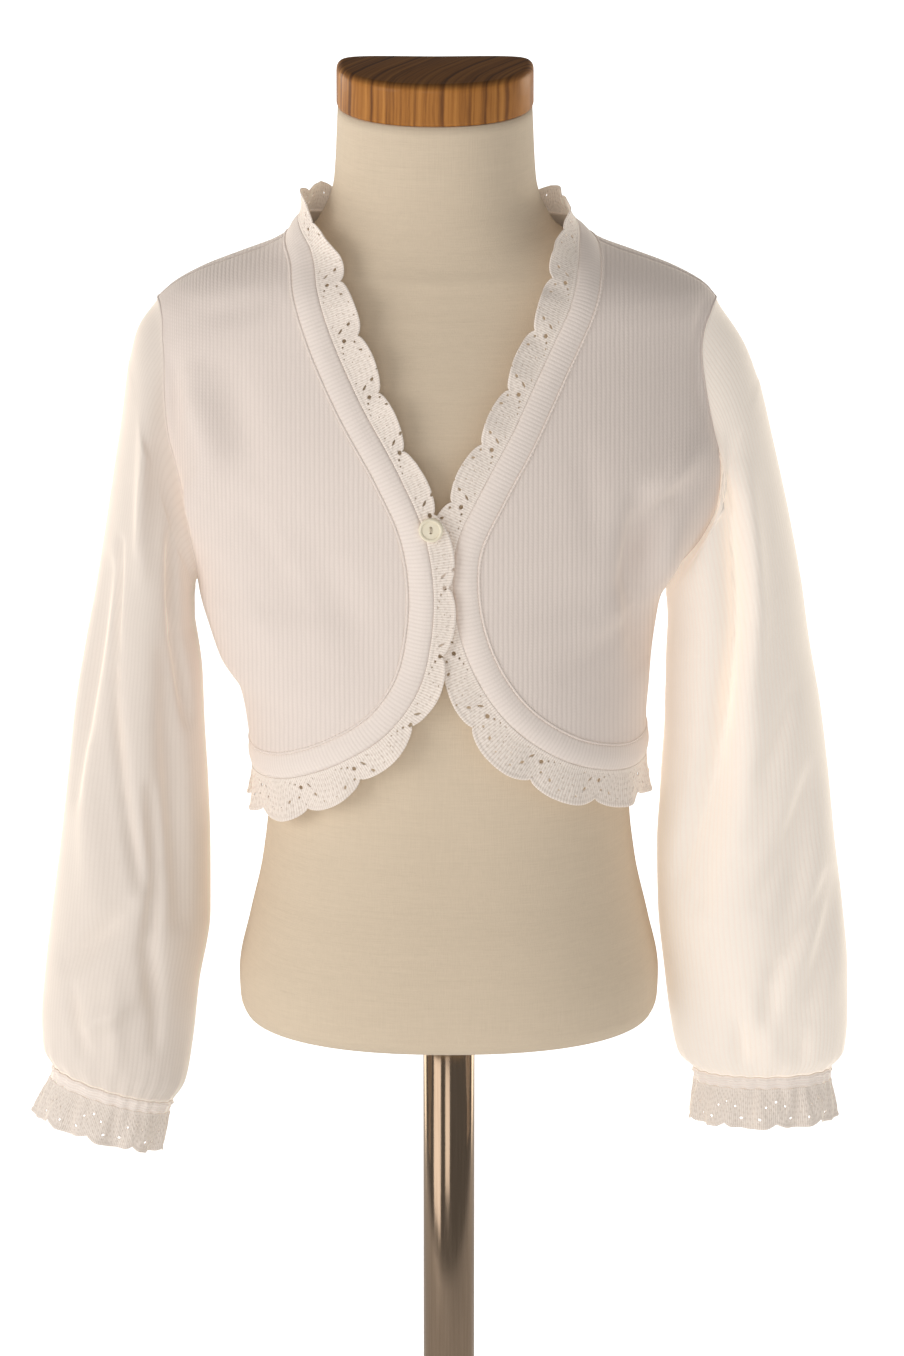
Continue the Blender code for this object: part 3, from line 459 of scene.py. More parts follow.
# %% [markdown]
# ## The route of the opening
#
# The band and its lace run in one loop: round the back of the neck, down the right front, along
# the hem and up the left front. A smooth route through the table gives every piece the same seam.

# %% Route
class Route:
    """The seam round the opening, with the way into the opening at each place."""

    def __init__(self):
        points = [on_face(*row) for row in OPENING]
        points.append(points[0])
        lengths = [np.linalg.norm(b - a) for a, b in zip(points, points[1:])]
        knots = np.concatenate(([0.0], np.cumsum(lengths)))
        knots /= knots[-1]
        rows = [(knot, *point) for knot, point in zip(knots, points)]
        before = [(knots[-2] - 1.0, *points[-2])]
        after = [(1.0 + knots[1], *points[1])]
        share = np.linspace(0.0, 1.0, 1601)[:-1]
        path = settle(curve_through(before + rows + after, share, eased=False))
        pieces = np.linalg.norm(np.roll(path, -1, axis=0) - path, axis=1)
        self.length = pieces.sum()
        self.places = np.concatenate(([0.0], np.cumsum(pieces)))
        ahead = unit(np.roll(path, -1, axis=0) - np.roll(path, 1, axis=0))
        inward = unit(np.cross(unit(body_slope(path)), ahead))
        self.path = np.vstack((path, path[:1]))
        self.inward = np.vstack((inward, inward[:1]))
        self.neck = {side: self.crossing(side, high=True) for side in (-1, 1)}
        self.side_seam = {side: self.crossing(side, high=False) for side in (-1, 1)}

    def crossing(self, side, high):
        """The place where the route crosses from the front to the back, at neck or hem."""
        fits = (self.path[:, 0] * side > 0.03) & ((self.path[:, 2] > 0.3) == high)
        return self.places[np.argmin(np.where(fits, np.abs(self.path[:, 1]), 1.0))]

    def read(self, values, place):
        return np.stack([np.interp(place, self.places, column) for column in values.T], axis=-1)

    def on_seam(self, place):
        return self.read(self.path, np.atleast_1d(place))

    def at(self, place, distance, lift):
        """Points at that distance into the opening and lifted from the surface, with normals."""
        inward = unit(self.read(self.inward, place))
        points = settle(self.on_seam(place) + inward * distance[:, None])
        normals = unit(body_slope(points))
        return points + normals * lift[:, None], normals


route = Route()
print("seam length", round(route.length, 3))

# %% [markdown]
# ## Making a cloth piece
#
# Each piece starts as a flat grid, as it would lie on the cutting table. A function of the grid's
# two shares puts it on the body. The flat place of each point is kept as a UV map in metres, so
# the stitches follow the cloth, and a Solidify modifier gives the cloth its thickness inwards.

# %% Grids and pieces
def unit_grid(columns, rows):
    """A flat grid that goes from 0 to 1 in X and in Y."""
    mesh = bmesh.new()
    bmesh.ops.create_grid(mesh, x_segments=columns, y_segments=rows, size=0.5)
    bmesh.ops.translate(mesh, verts=mesh.verts, vec=(0.5, 0.5, 0.0))
    return mesh


def grid_shares(mesh):
    return np.array([vert.co[:2] for vert in mesh.verts]).T


def move_to(mesh, points):
    """Move the grid's points to places that are measured from the torso's lower edge."""
    for vert, point in zip(mesh.verts, points):
        vert.co = point
        vert.co.z += TORSO_HEIGHT


def close_skin(mesh):
    """Weld a rolled-up grid, fill its ends and turn its faces outward."""
    bmesh.ops.remove_doubles(mesh, verts=mesh.verts, dist=WELD)
    ends = [edge for edge in mesh.edges if edge.is_boundary]
    bmesh.ops.holes_fill(mesh, edges=ends, sides=0)
    bmesh.ops.recalc_face_normals(mesh, faces=mesh.faces)


def to_object(mesh, name, material, node=None, sharp=None):
    """Turn a bmesh into a piece that rides on the part's only body and may replace a node."""
    data = bpy.data.meshes.new(name)
    mesh.to_mesh(data)
    mesh.free()
    data.shade_smooth()
    data.materials.append(material)
    piece = bpy.data.objects.new(name, data)
    bpy.context.scene.collection.objects.link(piece)
    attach(piece, "root")
    if node:
        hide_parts(node)
    if sharp:
        data.set_sharp_from_angle(angle=math.radians(sharp))
    print(name, "faces", len(data.polygons))
    return piece


# %% Cloth sheets
RELAX_TIMES = 30              # how often the squeezed cells next to a seam are evened out


def set_uv(mesh, name, across, down):
    layer = mesh.loops.layers.uv.new(name)
    for face in mesh.faces:
        for loop in face.loops:
            index = loop.vert.index
            loop[layer].uv = (across[index], down[index])


def lay_cloth(name, node, shape, flat, columns, rows, wall, material, closed=False,
              cut=None, edge=None, relax_to=0.0):
    """A sheet of cloth: shape(u, v) gives points and the way out, flat(u, v, points) its UV."""
    mesh = unit_grid(columns, rows)
    if cut:
        cut(mesh)
    u, v = grid_shares(mesh)
    points, outward = shape(u, v)
    mesh.verts.index_update()
    set_uv(mesh, "cloth", *flat(u, v, points))
    if edge:
        set_uv(mesh, "edge", edge(u, v), np.zeros_like(u))
    move_to(mesh, points)
    mesh.normal_update()
    facing = np.sum(np.array([vert.normal for vert in mesh.verts]) * outward)
    if facing < 0.0:
        bmesh.ops.reverse_faces(mesh, faces=mesh.faces)
    for vert, row in zip(mesh.verts, v):
        vert.select = bool(WELD < row < relax_to)
    if closed:
        bmesh.ops.remove_doubles(mesh, verts=mesh.verts, dist=WELD)
    squeezed = [vert for vert in mesh.verts if vert.select]
    for _ in range(RELAX_TIMES if squeezed else 0):
        bmesh.ops.smooth_vert(mesh, verts=squeezed, factor=0.5, use_axis_x=True,
                              use_axis_y=True, use_axis_z=True)
    area = sum(face.calc_area() for face in mesh.faces)
    piece = to_object(mesh, name, material, node)
    thick = piece.modifiers.new("cloth thickness", "SOLIDIFY")
    thick.thickness = wall
    thick.offset = -1.0
    print(name, "area", round(area, 5))
    return piece


# %% Cords
def cord_along(name, points, normals, radius, material, beads=0.0, pitch=0.002, sides=8):
    """A thin raised cord along a line, such as a seam's ridge, with a bead at each stitch."""
    side_way = unit(np.cross(normals, unit(np.gradient(points, axis=0))))
    steps = np.linalg.norm(np.diff(points, axis=0), axis=1)
    run = np.concatenate(([0.0], np.cumsum(steps)))
    mesh = unit_grid(sides, len(points) - 1)
    u, v = grid_shares(mesh)
    row = np.rint(v * (len(points) - 1)).astype(int)
    turn = 2.0 * math.pi * u[:, None]
    size = radius * (1.0 + beads * np.cos(2.0 * math.pi * run[row] / pitch))[:, None]
    out = normals[row] * np.cos(turn) + side_way[row] * np.sin(turn)
    move_to(mesh, points[row] + out * size)
    close_skin(mesh)
    return to_object(mesh, name, material)


# %% [markdown]
# ## Node groups for the finishes
#
# A stitch of plain knitting is two short legs that meet in a V. The group works out where a point
# lies in its stitch from the UV in metres, and puts out a height and painted shade for the gaps.
# The same group serves the panels, the bands and the lace, each with its own stitch size.

# %% Node helpers
class Nodes:
    """Short ways to add nodes to one tree. An input is a value or another node's output."""

    def __init__(self, tree):
        self.tree = tree

    def feed(self, node, inputs):
        for key, value in inputs.items():
            if isinstance(value, bpy.types.NodeSocket):
                self.tree.links.new(value, node.inputs[key])
            else:
                node.inputs[key].default_value = value

    def add(self, kind, inputs=None, out=0, **settings):
        """One output of a new node."""
        node = self.tree.nodes.new("ShaderNode" + kind)
        for name, value in settings.items():
            setattr(node, name, value)
        self.feed(node, inputs or {})
        return node.outputs[out]

    def maths(self, operation, first, second=0.0, third=0.0):
        return self.add("Math", {0: first, 1: second, 2: third}, operation=operation)

    def noise(self, place, scale, detail=2.0, **more):
        return self.add("TexNoise", {"Vector": place, "Scale": scale, "Detail": detail, **more})

    def stretched_noise(self, place, scale, detail=2.0):
        mapped = self.add("Mapping", {"Vector": place, "Scale": scale})
        return self.noise(mapped, 1.0, detail)

    def ramp(self, value, start, end, at_start=0.0, at_end=1.0):
        return self.add("MapRange", {"Value": value, "From Min": start, "From Max": end,
                                     "To Min": at_start, "To Max": at_end})

    def parts(self, vector):
        """The X, Y and Z of a vector."""
        node = self.tree.nodes.new("ShaderNodeSeparateXYZ")
        self.feed(node, {0: vector})
        return node.outputs

    def mix(self, factor, first, second):
        """A colour between two, the second one where the factor is 1."""
        return self.add("Mix", {"Factor": factor, "A": (*first, 1.0), "B": (*second, 1.0)},
                        "Result", data_type="RGBA")

    def bump(self, height, strength, distance):
        return self.add("Bump", {"Height": height, "Strength": strength, "Distance": distance},
                        "Normal")

    def group(self, tree, inputs):
        node = self.tree.nodes.new("ShaderNodeGroup")
        node.node_tree = tree
        self.feed(node, inputs)
        return node.outputs


FLOAT = "NodeSocketFloat"
VECTOR = "NodeSocketVector"


class Group(Nodes):
    """A node group that puts out numbers. An input without a value is a vector."""

    def __init__(self, name, inputs, outputs):
        super().__init__(bpy.data.node_groups.new(name, "ShaderNodeTree"))
        for label, value in inputs.items():
            kind = VECTOR if value is None else FLOAT
            socket = self.tree.interface.new_socket(label, in_out="INPUT", socket_type=kind)
            if value is not None:
                socket.default_value = value
        for label in outputs:
            self.tree.interface.new_socket(label, in_out="OUTPUT", socket_type=FLOAT)
        self.ins = self.tree.nodes.new("NodeGroupInput").outputs
        self.end = self.tree.nodes.new("NodeGroupOutput")


# %% Knit stitch group
knit = Group("knit stitches", {"Place": None, "Wale": 0.00145, "Course": 0.00105, "Slant": 0.55},
             ("Height", "Shade"))
place = knit.parts(knit.ins["Place"])
wander = knit.noise(knit.ins["Place"], 90.0, 1.0)
drift = knit.maths("MULTIPLY_ADD", wander, 0.0006, -0.0003)
wale = knit.maths("DIVIDE", knit.maths("ADD", place["X"], drift), knit.ins["Wale"])
in_wale = knit.maths("FRACT", wale)
from_middle = knit.maths("ABSOLUTE", knit.maths("SUBTRACT", in_wale, 0.5))
slant = knit.maths("MULTIPLY", from_middle, knit.ins["Slant"])
course = knit.maths("DIVIDE", place["Y"], knit.ins["Course"])
in_course = knit.maths("FRACT", knit.maths("MULTIPLY_ADD", slant, 2.0, course))
leg = knit.maths("SINE", knit.maths("MULTIPLY", in_wale, math.pi))
arch = knit.maths("SINE", knit.maths("MULTIPLY", in_course, math.pi))
loop_height = knit.maths("MULTIPLY", leg, knit.maths("MULTIPLY_ADD", arch, 0.30, 0.70))
# Shade is painted shade: low in the gaps between the loops, high on their tops.
knit.feed(knit.end, {"Height": loop_height, "Shade": knit.maths("POWER", loop_height, 0.6)})

# %% Soft tone group
soft = Group("soft tone", {"Place": None, "Size": 9.0, "Fuzz Size": 420.0}, ("Tone", "Fuzz"))
tone = soft.noise(soft.ins["Place"], soft.ins["Size"], 3.0, Roughness=0.55)
fuzz = soft.noise(soft.ins["Place"], soft.ins["Fuzz Size"], 4.0, Roughness=0.7)
soft.feed(soft.end, {"Tone": tone, "Fuzz": fuzz})

# %% Lace net group
# Rows of pin holes run in arcs through each fan and slantwise between the fans.
# Its masks paint shade into the pin holes and a thin shadow line inside the corded edge.
net = Group("lace net", {"Place": None, "Edge": None, "Pitch": 0.030, "Row": 0.0027},
            ("Hole", "Cord Shadow"))
maths = net.maths


def dots(across, down):
    """1 in a round dot in the middle of each cell of a grid, and 0 round it."""
    apart = [maths("SUBTRACT", maths("FRACT", way), 0.5) for way in (across, down)]
    square = maths("MULTIPLY_ADD", apart[0], apart[0], maths("MULTIPLY", apart[1], apart[1]))
    return net.ramp(square, 0.035, 0.10, 1.0, 0.0)


place = net.parts(net.ins["Place"])
to_edge = net.parts(net.ins["Edge"])["X"]
in_motif = maths("FRACT", maths("DIVIDE", place["X"], net.ins["Pitch"]))
from_crest = maths("MULTIPLY", maths("SUBTRACT", in_motif, 0.5), net.ins["Pitch"])
from_root = maths("ADD", place["Y"], 0.005)
turn = maths("ARCTAN2", from_crest, from_root)
reach = maths("SQRT", maths("MULTIPLY_ADD", from_crest, from_crest,
                            maths("MULTIPLY", from_root, from_root)))
ring_row = maths("DIVIDE", reach, net.ins["Row"])
ring_step = maths("MULTIPLY_ADD", maths("FLOOR", ring_row), 0.5, maths("DIVIDE", turn, 0.155))
from_notch = maths("ABSOLUTE", from_crest)
slant_a = maths("DIVIDE", maths("ADD", from_notch, place["Y"]), 0.0034)
slant_b = maths("DIVIDE", maths("SUBTRACT", from_notch, place["Y"]), 0.0034)
in_fan = net.ramp(maths("ABSOLUTE", turn), 0.60, 0.64, 1.0, 0.0)
fan_dots = maths("MULTIPLY", dots(ring_row, ring_step), in_fan)
net_dots = maths("MULTIPLY", dots(slant_a, slant_b), maths("SUBTRACT", 1.0, in_fan))
inside = net.ramp(to_edge, 0.0020, 0.0028)
below_band = net.ramp(place["Y"], 0.0012, 0.0018)
# The pin holes: painted shade in the colour and a dip in the bump.
hole = maths("MULTIPLY", maths("ADD", fan_dots, net_dots), maths("MULTIPLY", inside, below_band))
# A painted shadow line just inside the corded edge.
cord = net.ramp(maths("ABSOLUTE", maths("SUBTRACT", to_edge, 0.0017)), 0.0001, 0.0006, 1.0, 0.0)
net.feed(net.end, {"Hole": hole, "Cord Shadow": cord})
print("node groups", [group.name for group in bpy.data.node_groups])

# %% [markdown]
# ## White cotton knit
#
# The yarn is matt, a little hairy and lets light through: held against a bright background, the
# sleeves glow at their edges. Subsurface scattering could give that, but takes long to render, so
# the glow is painted: a faint warm emission by Layer Weight, and more emission as painted light
# from behind, most on the left sleeve. Sheen gives the soft edge of the hairs, and the stitch
# group drives the bump and paints shade into the gaps.

# %% Cloth material
class Surface(Nodes):
    """A material, with the nodes round its Principled shader."""

    def __init__(self, name):
        self.material = bpy.data.materials.new(name)
        self.material.use_nodes = True
        super().__init__(self.material.node_tree)
        self.shader = self.tree.nodes["Principled BSDF"]

    def where(self, out="Object"):
        return self.add("TexCoord", out=out)

    def finish(self, inputs):
        """Set or link the shader's inputs."""
        self.feed(self.shader, inputs)
        print("material", self.material.name, "nodes", len(self.tree.nodes))
        return self.material


def cloth_material(name, light, dark, wale, course, bump, glow, through, slant=0.55,
                   net_shade=0.0):
    """Knitted cotton. Glow is painted light at grazing angles, through is painted light from
    behind.
    """
    yarn = Surface(name)
    flat_place = yarn.add("UVMap", out="UV", uv_map="cloth")
    stitch = yarn.group(knit.tree, {"Place": flat_place, "Wale": wale, "Course": course,
                                    "Slant": slant})
    tone = yarn.group(soft.tree, {"Place": yarn.where()})
    # Painted shade in the stitch gaps, with a random tone added.
    shade = yarn.maths("MULTIPLY_ADD", stitch["Shade"], 0.80, 0.08)
    shade = yarn.maths("MULTIPLY_ADD", tone["Tone"], 0.18, shade)
    height = stitch["Height"]
    # Painted shade in the lace's pin holes, and a painted shadow line inside its corded edge.
    if net_shade:
        edge_place = yarn.add("UVMap", out="UV", uv_map="edge")
        lace = yarn.group(net.tree, {"Place": flat_place, "Edge": edge_place})
        shade = yarn.maths("MULTIPLY_ADD", lace["Hole"], -net_shade, shade)
        shade = yarn.maths("MULTIPLY_ADD", lace["Cord Shadow"], -0.45 * net_shade, shade)
        height = yarn.maths("SUBTRACT", height, lace["Hole"])
    height = yarn.maths("MULTIPLY_ADD", tone["Fuzz"], 0.35, height)
    # Painted glow: emission at grazing angles, and emission that stands for light from behind.
    grazing = yarn.maths("POWER", yarn.add("LayerWeight", {"Blend": 0.5}, "Facing"), 4.0)
    painted_glow_colour = yarn.mix(yarn.maths("MULTIPLY", grazing, glow),
                    (through, 0.92 * through, 0.80 * through), (1.0, 0.88, 0.70))
    return yarn.finish({
        "Base Color": yarn.mix(shade, dark, light),
        "Roughness": yarn.maths("MULTIPLY_ADD", tone["Fuzz"], 0.12, 0.82),
        "Normal": yarn.bump(height, bump, 0.0004),
        "Emission Color": painted_glow_colour,
        "Emission Strength": 1.0,
        "Sheen Weight": 0.15,
        "Sheen Roughness": 0.55,
        "Specular IOR Level": 0.15,
    })


# %% Cloth colours
WALE = 0.00236
COURSE = 0.0016
# Each pair is the yarn's own colour and the yarn in painted shade; stitch gaps, lace holes and a
# random tone mix them.
KNIT = ((0.92, 0.815, 0.75), (0.80, 0.70, 0.64))
BAND = ((0.95, 0.85, 0.785), (0.85, 0.75, 0.685))
SLEEVE = ((0.92, 0.825, 0.745), (0.86, 0.765, 0.685))
LACE = ((0.96, 0.865, 0.795), (0.62, 0.52, 0.44))

# name, light and dark, wale, course, bump, glow and through (painted light), slant, painted net
# shade
body_knit = cloth_material("white knit, body", *KNIT, WALE, COURSE, 0.32, 0.12, 0.0)
# The left sleeve gets far more painted light from behind than the right one.
sleeve_knit = {
    -1: cloth_material("white knit, right sleeve", *SLEEVE, WALE, COURSE, 0.10, 0.45, 0.01),
    1: cloth_material("white knit, left sleeve", *SLEEVE, WALE, COURSE, 0.20, 0.45, 0.20),
}
band_knit = cloth_material("white knit, band", *BAND, 0.0019, 0.0016, 0.26, 0.15, 0.02)
lace_knit = cloth_material("white lace", *LACE, 0.0011, 0.0011, 0.35, 0.25, 0.10, 0.9, 0.30)
cuff_knit = cloth_material("white knit, cuffs", *BAND, 0.0013, 0.0012, 0.40, 0.50, 0.10)
cuff_lace_knit = cloth_material("white lace, cuffs", *LACE, 0.0011, 0.0011, 0.40, 0.50, 0.11,
                                0.9, 0.28)

# %% [markdown]
# ## Wood, canvas, steel and button
#
# The cap is a glued block: upright strips show on its edge, and the same strips bend into arcs on
# its top, which is darkened as painted shade. The form wears a plain canvas with thicker threads
# here and there. The pole is brushed steel, and the button a pale gloss plastic.

# %% Canvas
surface = Surface("cream canvas")
where = surface.where()
weave = surface.maths("ADD", surface.stretched_noise(where, (2300.0, 2300.0, 90.0)),
                      surface.stretched_noise(where, (160.0, 160.0, 2100.0)))
slubs = surface.stretched_noise(where, (30.0, 30.0, 650.0))
tone = surface.group(soft.tree, {"Place": where, "Size": 6.0})["Tone"]
shade = surface.maths("MULTIPLY_ADD", weave, 0.40, 0.02)
shade = surface.maths("MULTIPLY_ADD", slubs, 0.28, shade)
shade = surface.maths("MULTIPLY_ADD", tone, 0.30, shade)
canvas = surface.finish({
    "Base Color": surface.mix(shade, (0.65, 0.53, 0.39), (0.83, 0.695, 0.53)),
    "Normal": surface.bump(surface.maths("ADD", weave, slubs), 0.30, 0.0003),
    "Roughness": 0.88,
    "Sheen Weight": 0.15,
    "Specular IOR Level": 0.2,
})

# %% Wood
surface = Surface("varnished wood")
where = surface.where()
spot = surface.parts(where)
arc = surface.maths("POWER", surface.maths("ADD", spot["Y"], 0.047), 2.0)
across = surface.maths("SUBTRACT", spot["X"], surface.maths("MULTIPLY", arc, 5.5))
across = surface.maths("MULTIPLY_ADD", surface.noise(where, 26.0), 0.005, across)
strips = surface.add("TexNoise", {"W": surface.maths("MULTIPLY", across, 62.0), "Detail": 1.5,
                                  "Roughness": 0.6}, noise_dimensions="1D")
pores_place = surface.add("CombineXYZ", {0: surface.maths("MULTIPLY", across, 900.0),
                                         1: surface.maths("MULTIPLY", spot["Y"], 60.0),
                                         2: surface.maths("MULTIPLY", spot["Z"], 60.0)})
grain = surface.maths("MULTIPLY_ADD", surface.noise(pores_place, 1.0), 0.35,
                      surface.maths("MULTIPLY_ADD", strips, 1.5, -0.45))
colours = surface.tree.nodes.new("ShaderNodeValToRGB")
surface.feed(colours, {"Fac": grain})
stops = colours.color_ramp.elements
stops.new(0.48)
for stop, at, colour in zip(stops, (0.18, 0.48, 0.80), ((0.19, 0.075, 0.024),
                                                        (0.43, 0.175, 0.042),
                                                        (0.56, 0.245, 0.062))):
    stop.position = at
    stop.color = (*colour, 1.0)
# Painted shade: where the cap faces up, on its top, its colour is scaled down to 0.4.
facing = surface.parts(surface.where("Normal"))["Z"]
grain_with_painted_top_shade = surface.add("VectorMath", {0: colours.outputs["Color"],
                                    "Scale": surface.ramp(facing, 0.35, 0.95, 1.0, 0.40)},
                     operation="SCALE")
wood = surface.finish({
    "Base Color": grain_with_painted_top_shade,
    "Normal": surface.bump(grain, 0.15, 0.0003),
    "Roughness": 0.50,
    "Specular IOR Level": 0.05,
    "Coat Weight": surface.ramp(facing, 0.80, 0.98, 0.18, 0.0),
    "Coat Roughness": 0.22,
})

# %% Steel, button and thread
surface = Surface("brushed steel")
brush = surface.stretched_noise(surface.where(), (900.0, 900.0, 25.0), 3.0)
steel = surface.finish({
    "Base Color": surface.mix(brush, (0.20, 0.145, 0.10), (0.30, 0.225, 0.165)),
    "Roughness": surface.maths("MULTIPLY_ADD", brush, 0.08, 0.09),
    "Normal": surface.bump(brush, 0.08, 0.0002),
    "Metallic": 1.0,
})
surface = Surface("ivory plastic")
cloudy = surface.noise(surface.where(), 260.0)
ivory = surface.finish({
    "Base Color": surface.mix(cloudy, (0.93, 0.83, 0.63), (0.97, 0.90, 0.73)),
    "Roughness": surface.maths("MULTIPLY_ADD", cloudy, 0.1, 0.26),
})
surface = Surface("sewing thread")
ply = surface.noise(surface.where(), 2500.0)
thread_white = surface.finish({
    "Base Color": surface.mix(ply, (0.62, 0.53, 0.40), (0.84, 0.76, 0.62)),
    "Roughness": 0.8,
})

# %% [markdown]
# ## The dress form and its stand
#
# The torso is padding under a taut canvas, so it is one smooth closed shape that narrows to the
# waist. It is a stack of rounded sections, made again here with a finer grid than the solid. The
# wooden cap has the neck's own outline, with its edges rounded over.

# %% Dress form
FORM_INSET = 0.0006           # the fine form stays just inside the faceted solid's corners
TORSO_TOP = 0.4412
CAP_BOTTOM = 0.4415
CAP_TOP = 0.4617
CAP_ROUNDING = 0.004


def form_section(u, h, inset=0.0):
    """Points round the dress form at height h, u going once round."""
    half, front, back, middle_y, front_power, back_power = read_columns(FORM, h)
    angle = 2.0 * math.pi * u
    across, forward = squared(angle, np.where(np.sin(angle) > 0, front_power, back_power))
    x = lean(h) + (half - inset) * across
    y = middle_y - (np.where(forward > 0, front, back) - inset) * forward
    return np.stack((x, y, h), axis=-1)


def ring_stack(name, node, section, columns, rows, material, sharp=None):
    """A closed skin of rings, with a flat face at each end."""
    mesh = unit_grid(columns, rows)
    move_to(mesh, section(*grid_shares(mesh)))
    close_skin(mesh)
    return to_object(mesh, name, material, node, sharp)


def torso_shape(u, v):
    heights = [row[0] for row in FORM]
    return form_section(u, np.interp(v, np.linspace(0.0, 1.0, len(FORM)), heights), FORM_INSET)


ring_stack("padded_torso", "form_torso", torso_shape, 112, 160, canvas)

# %% Neck cap
cap_profile = [
    # h, inset from the neck's outline
    (CAP_BOTTOM, CAP_ROUNDING * 0.35),
    (CAP_BOTTOM + CAP_ROUNDING * 0.12, CAP_ROUNDING * 0.10),
    (CAP_BOTTOM + CAP_ROUNDING * 0.4, 0.0),
]
for turn in np.linspace(0.0, math.pi / 2.0, 9):
    cap_profile.append((CAP_TOP - CAP_ROUNDING * (1.0 - math.sin(turn)),
                        CAP_ROUNDING * (1.0 - math.cos(turn))))


def cap_shape(u, v):
    places = np.linspace(0.0, 1.0, len(cap_profile))
    h, inset = [np.interp(v, places, column) for column in zip(*cap_profile)]
    rim = form_section(u, np.full_like(h, TORSO_TOP))
    middle = np.array((float(lean(TORSO_TOP)), FORM[-1][4] - 0.010, TORSO_TOP))
    points = rim + unit(middle - rim) * inset[:, None]
    points[:, 2] = h
    return points


ring_stack("wooden_neck_cap", "neck_cap", cap_shape, 144, len(cap_profile) - 1, wood,
           sharp=60)

# %% Stand
POLE_CHAMFER = 0.0006
BASE_ROUNDING = 0.0020        # of its upper edge
BASE_CHAMFER = 0.0010         # of its lower edge
BASE_FLAT = 0.10


def turned(name, node, profile, steps):
    """A piece of steel, spun from its profile round the stand's axis."""
    mesh = bmesh.new()
    verts = [mesh.verts.new((radius, 0.0, z)) for radius, z in profile]
    edges = [mesh.edges.new(pair) for pair in zip(verts, verts[1:])]
    bmesh.ops.spin(mesh, geom=verts + edges, cent=(0, 0, 0), axis=(0, 0, 1),
                   angle=2.0 * math.pi, steps=steps, use_merge=True)
    close_skin(mesh)
    return to_object(mesh, name, steel, node, sharp=50)


low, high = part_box("stand_pole")
turned("steel_pole", "stand_pole", (
    (0.0, high.z), (high.x - POLE_CHAMFER, high.z), (high.x, high.z - POLE_CHAMFER),
    (high.x, low.z), (0.0, low.z)), 64)
low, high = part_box("stand_base")
rim = [(high.x - BASE_ROUNDING * (1.0 - math.sin(turn)),
        high.z - BASE_ROUNDING * (1.0 - math.cos(turn)))
       for turn in np.linspace(0.0, math.pi / 2.0, 6)]
turned("round_base", "stand_base", (
    (0.0, high.z), (BASE_FLAT, high.z), *rim, (high.x, BASE_CHAMFER),
    (high.x - BASE_CHAMFER, 0.0), (0.0, 0.0)), 128)

# %% [markdown]
# ## Fronts and back
#
# Each front is cut round: from the shoulder its edge runs down to the button and away again to
# the side seam. The grid runs from that edge to the armhole. Folds are soft ridges and troughs
# between named places, strongest at the armholes, where the hanging sleeve pulls at the cloth.

# %% Flat places of the panels
WIDEST_SIDE = 0.134           # the body's half width and depth where it is widest
WIDEST_FRONT = 0.078
SHOULDER_X = 0.150            # past the widest ring the cloth goes on as a straight strip
SHOULDER_RUN = 0.060


def run_along(across, along):
    """The length run from the start of a line of points to each of them."""
    return np.concatenate(([0.0], np.cumsum(np.hypot(np.diff(across), np.diff(along)))))


ring_steps = np.linspace(0.0, math.pi / 2.0, 200)
ring_x = WIDEST_SIDE * np.sin(ring_steps)
ring_run = run_along(ring_x, WIDEST_FRONT * np.cos(ring_steps))
ring_x = np.append(ring_x, SHOULDER_X)
ring_run = np.append(ring_run, ring_run[-1] + SHOULDER_RUN)
profile_h = np.linspace(0.05, 0.44, 400)
profile_run = run_along(profile_h, curve_through(RINGS, profile_h)[:, (1, 2)].mean(axis=1))


def wrap(u, v, points):
    """The flat place of body points: how far round from the middle, and how far up."""
    x = points[:, 0]
    return (np.sign(x) * np.interp(np.abs(x), ring_x, ring_run),
            np.interp(points[:, 2], profile_h, profile_run))


# %% Panel edges
ARMHOLE_TOP = 0.3500
ARMHOLE_BOTTOM = {-1: 0.2120, 1: 0.2080}
ARMHOLE_HALF_DEPTH = 0.027
ARMHOLE_POWER = 2.6
ARMHOLE_SHARE = {-1: 11.0 / 20.0, 1: 11.0 / 17.0}     # of a panel's outer edge, by face


def armhole(side, angle):
    """The armhole seam on the body surface. The angle is 0 at the shoulder, pi/2 in front."""
    middle = (ARMHOLE_TOP + ARMHOLE_BOTTOM[side]) / 2.0
    half = (ARMHOLE_TOP - ARMHOLE_BOTTOM[side]) / 2.0
    up, forward = squared(angle, ARMHOLE_POWER)
    h = middle + half * up
    y = -ARMHOLE_HALF_DEPTH * forward
    right, left, front, back, square = read_columns(RINGS, h)
    reach = left if side > 0 else right
    share = np.abs(y) / np.where(y < 0, front, back)
    x = lean(h) + side * reach * (1.0 - share ** square) ** (1.0 / square)
    return np.stack((x, y, h), axis=-1)


def side_edge(side, face, v, low_h):
    """The outer edge of a panel: the armhole and then the side seam."""
    share = ARMHOLE_SHARE[face]
    hole = armhole(side, -face * math.pi * np.minimum(v / share, 1.0))
    low = settle(np.array([[lean(low_h) + side * SIDE_SEAM_X, 0.0, low_h]]))[0]
    under = armhole(side, np.array([math.pi]))[0] * (1.0, 0.0, 1.0)
    below = np.clip((v - share) / (1.0 - share), 0.0, 1.0)[:, None]
    return np.where(v[:, None] <= share, hole, settle(under + (low - under) * below))


# %% Fronts
PANEL_WALL = 0.0013
PANEL_FOLD_GAIN = 1.7         # the dressed cloth's folds are sharper than the solid's


def panel_points(points, free, face):
    """Settle a panel's points and raise its folds where it is free."""
    points = settle(points)
    normals = unit(body_slope(points))
    folds = [row[1:] for row in PANEL_FOLDS if row[0] == face]
    rise = fold_rise(points[:, 0], points[:, 2], folds) * free * ease(np.abs(points[:, 1]) / 0.02)
    points = points + normals * (PANEL_FOLD_GAIN * rise)[:, None]
    points[:, 1] = face * np.maximum(face * points[:, 1], 0.0)
    return points, normals


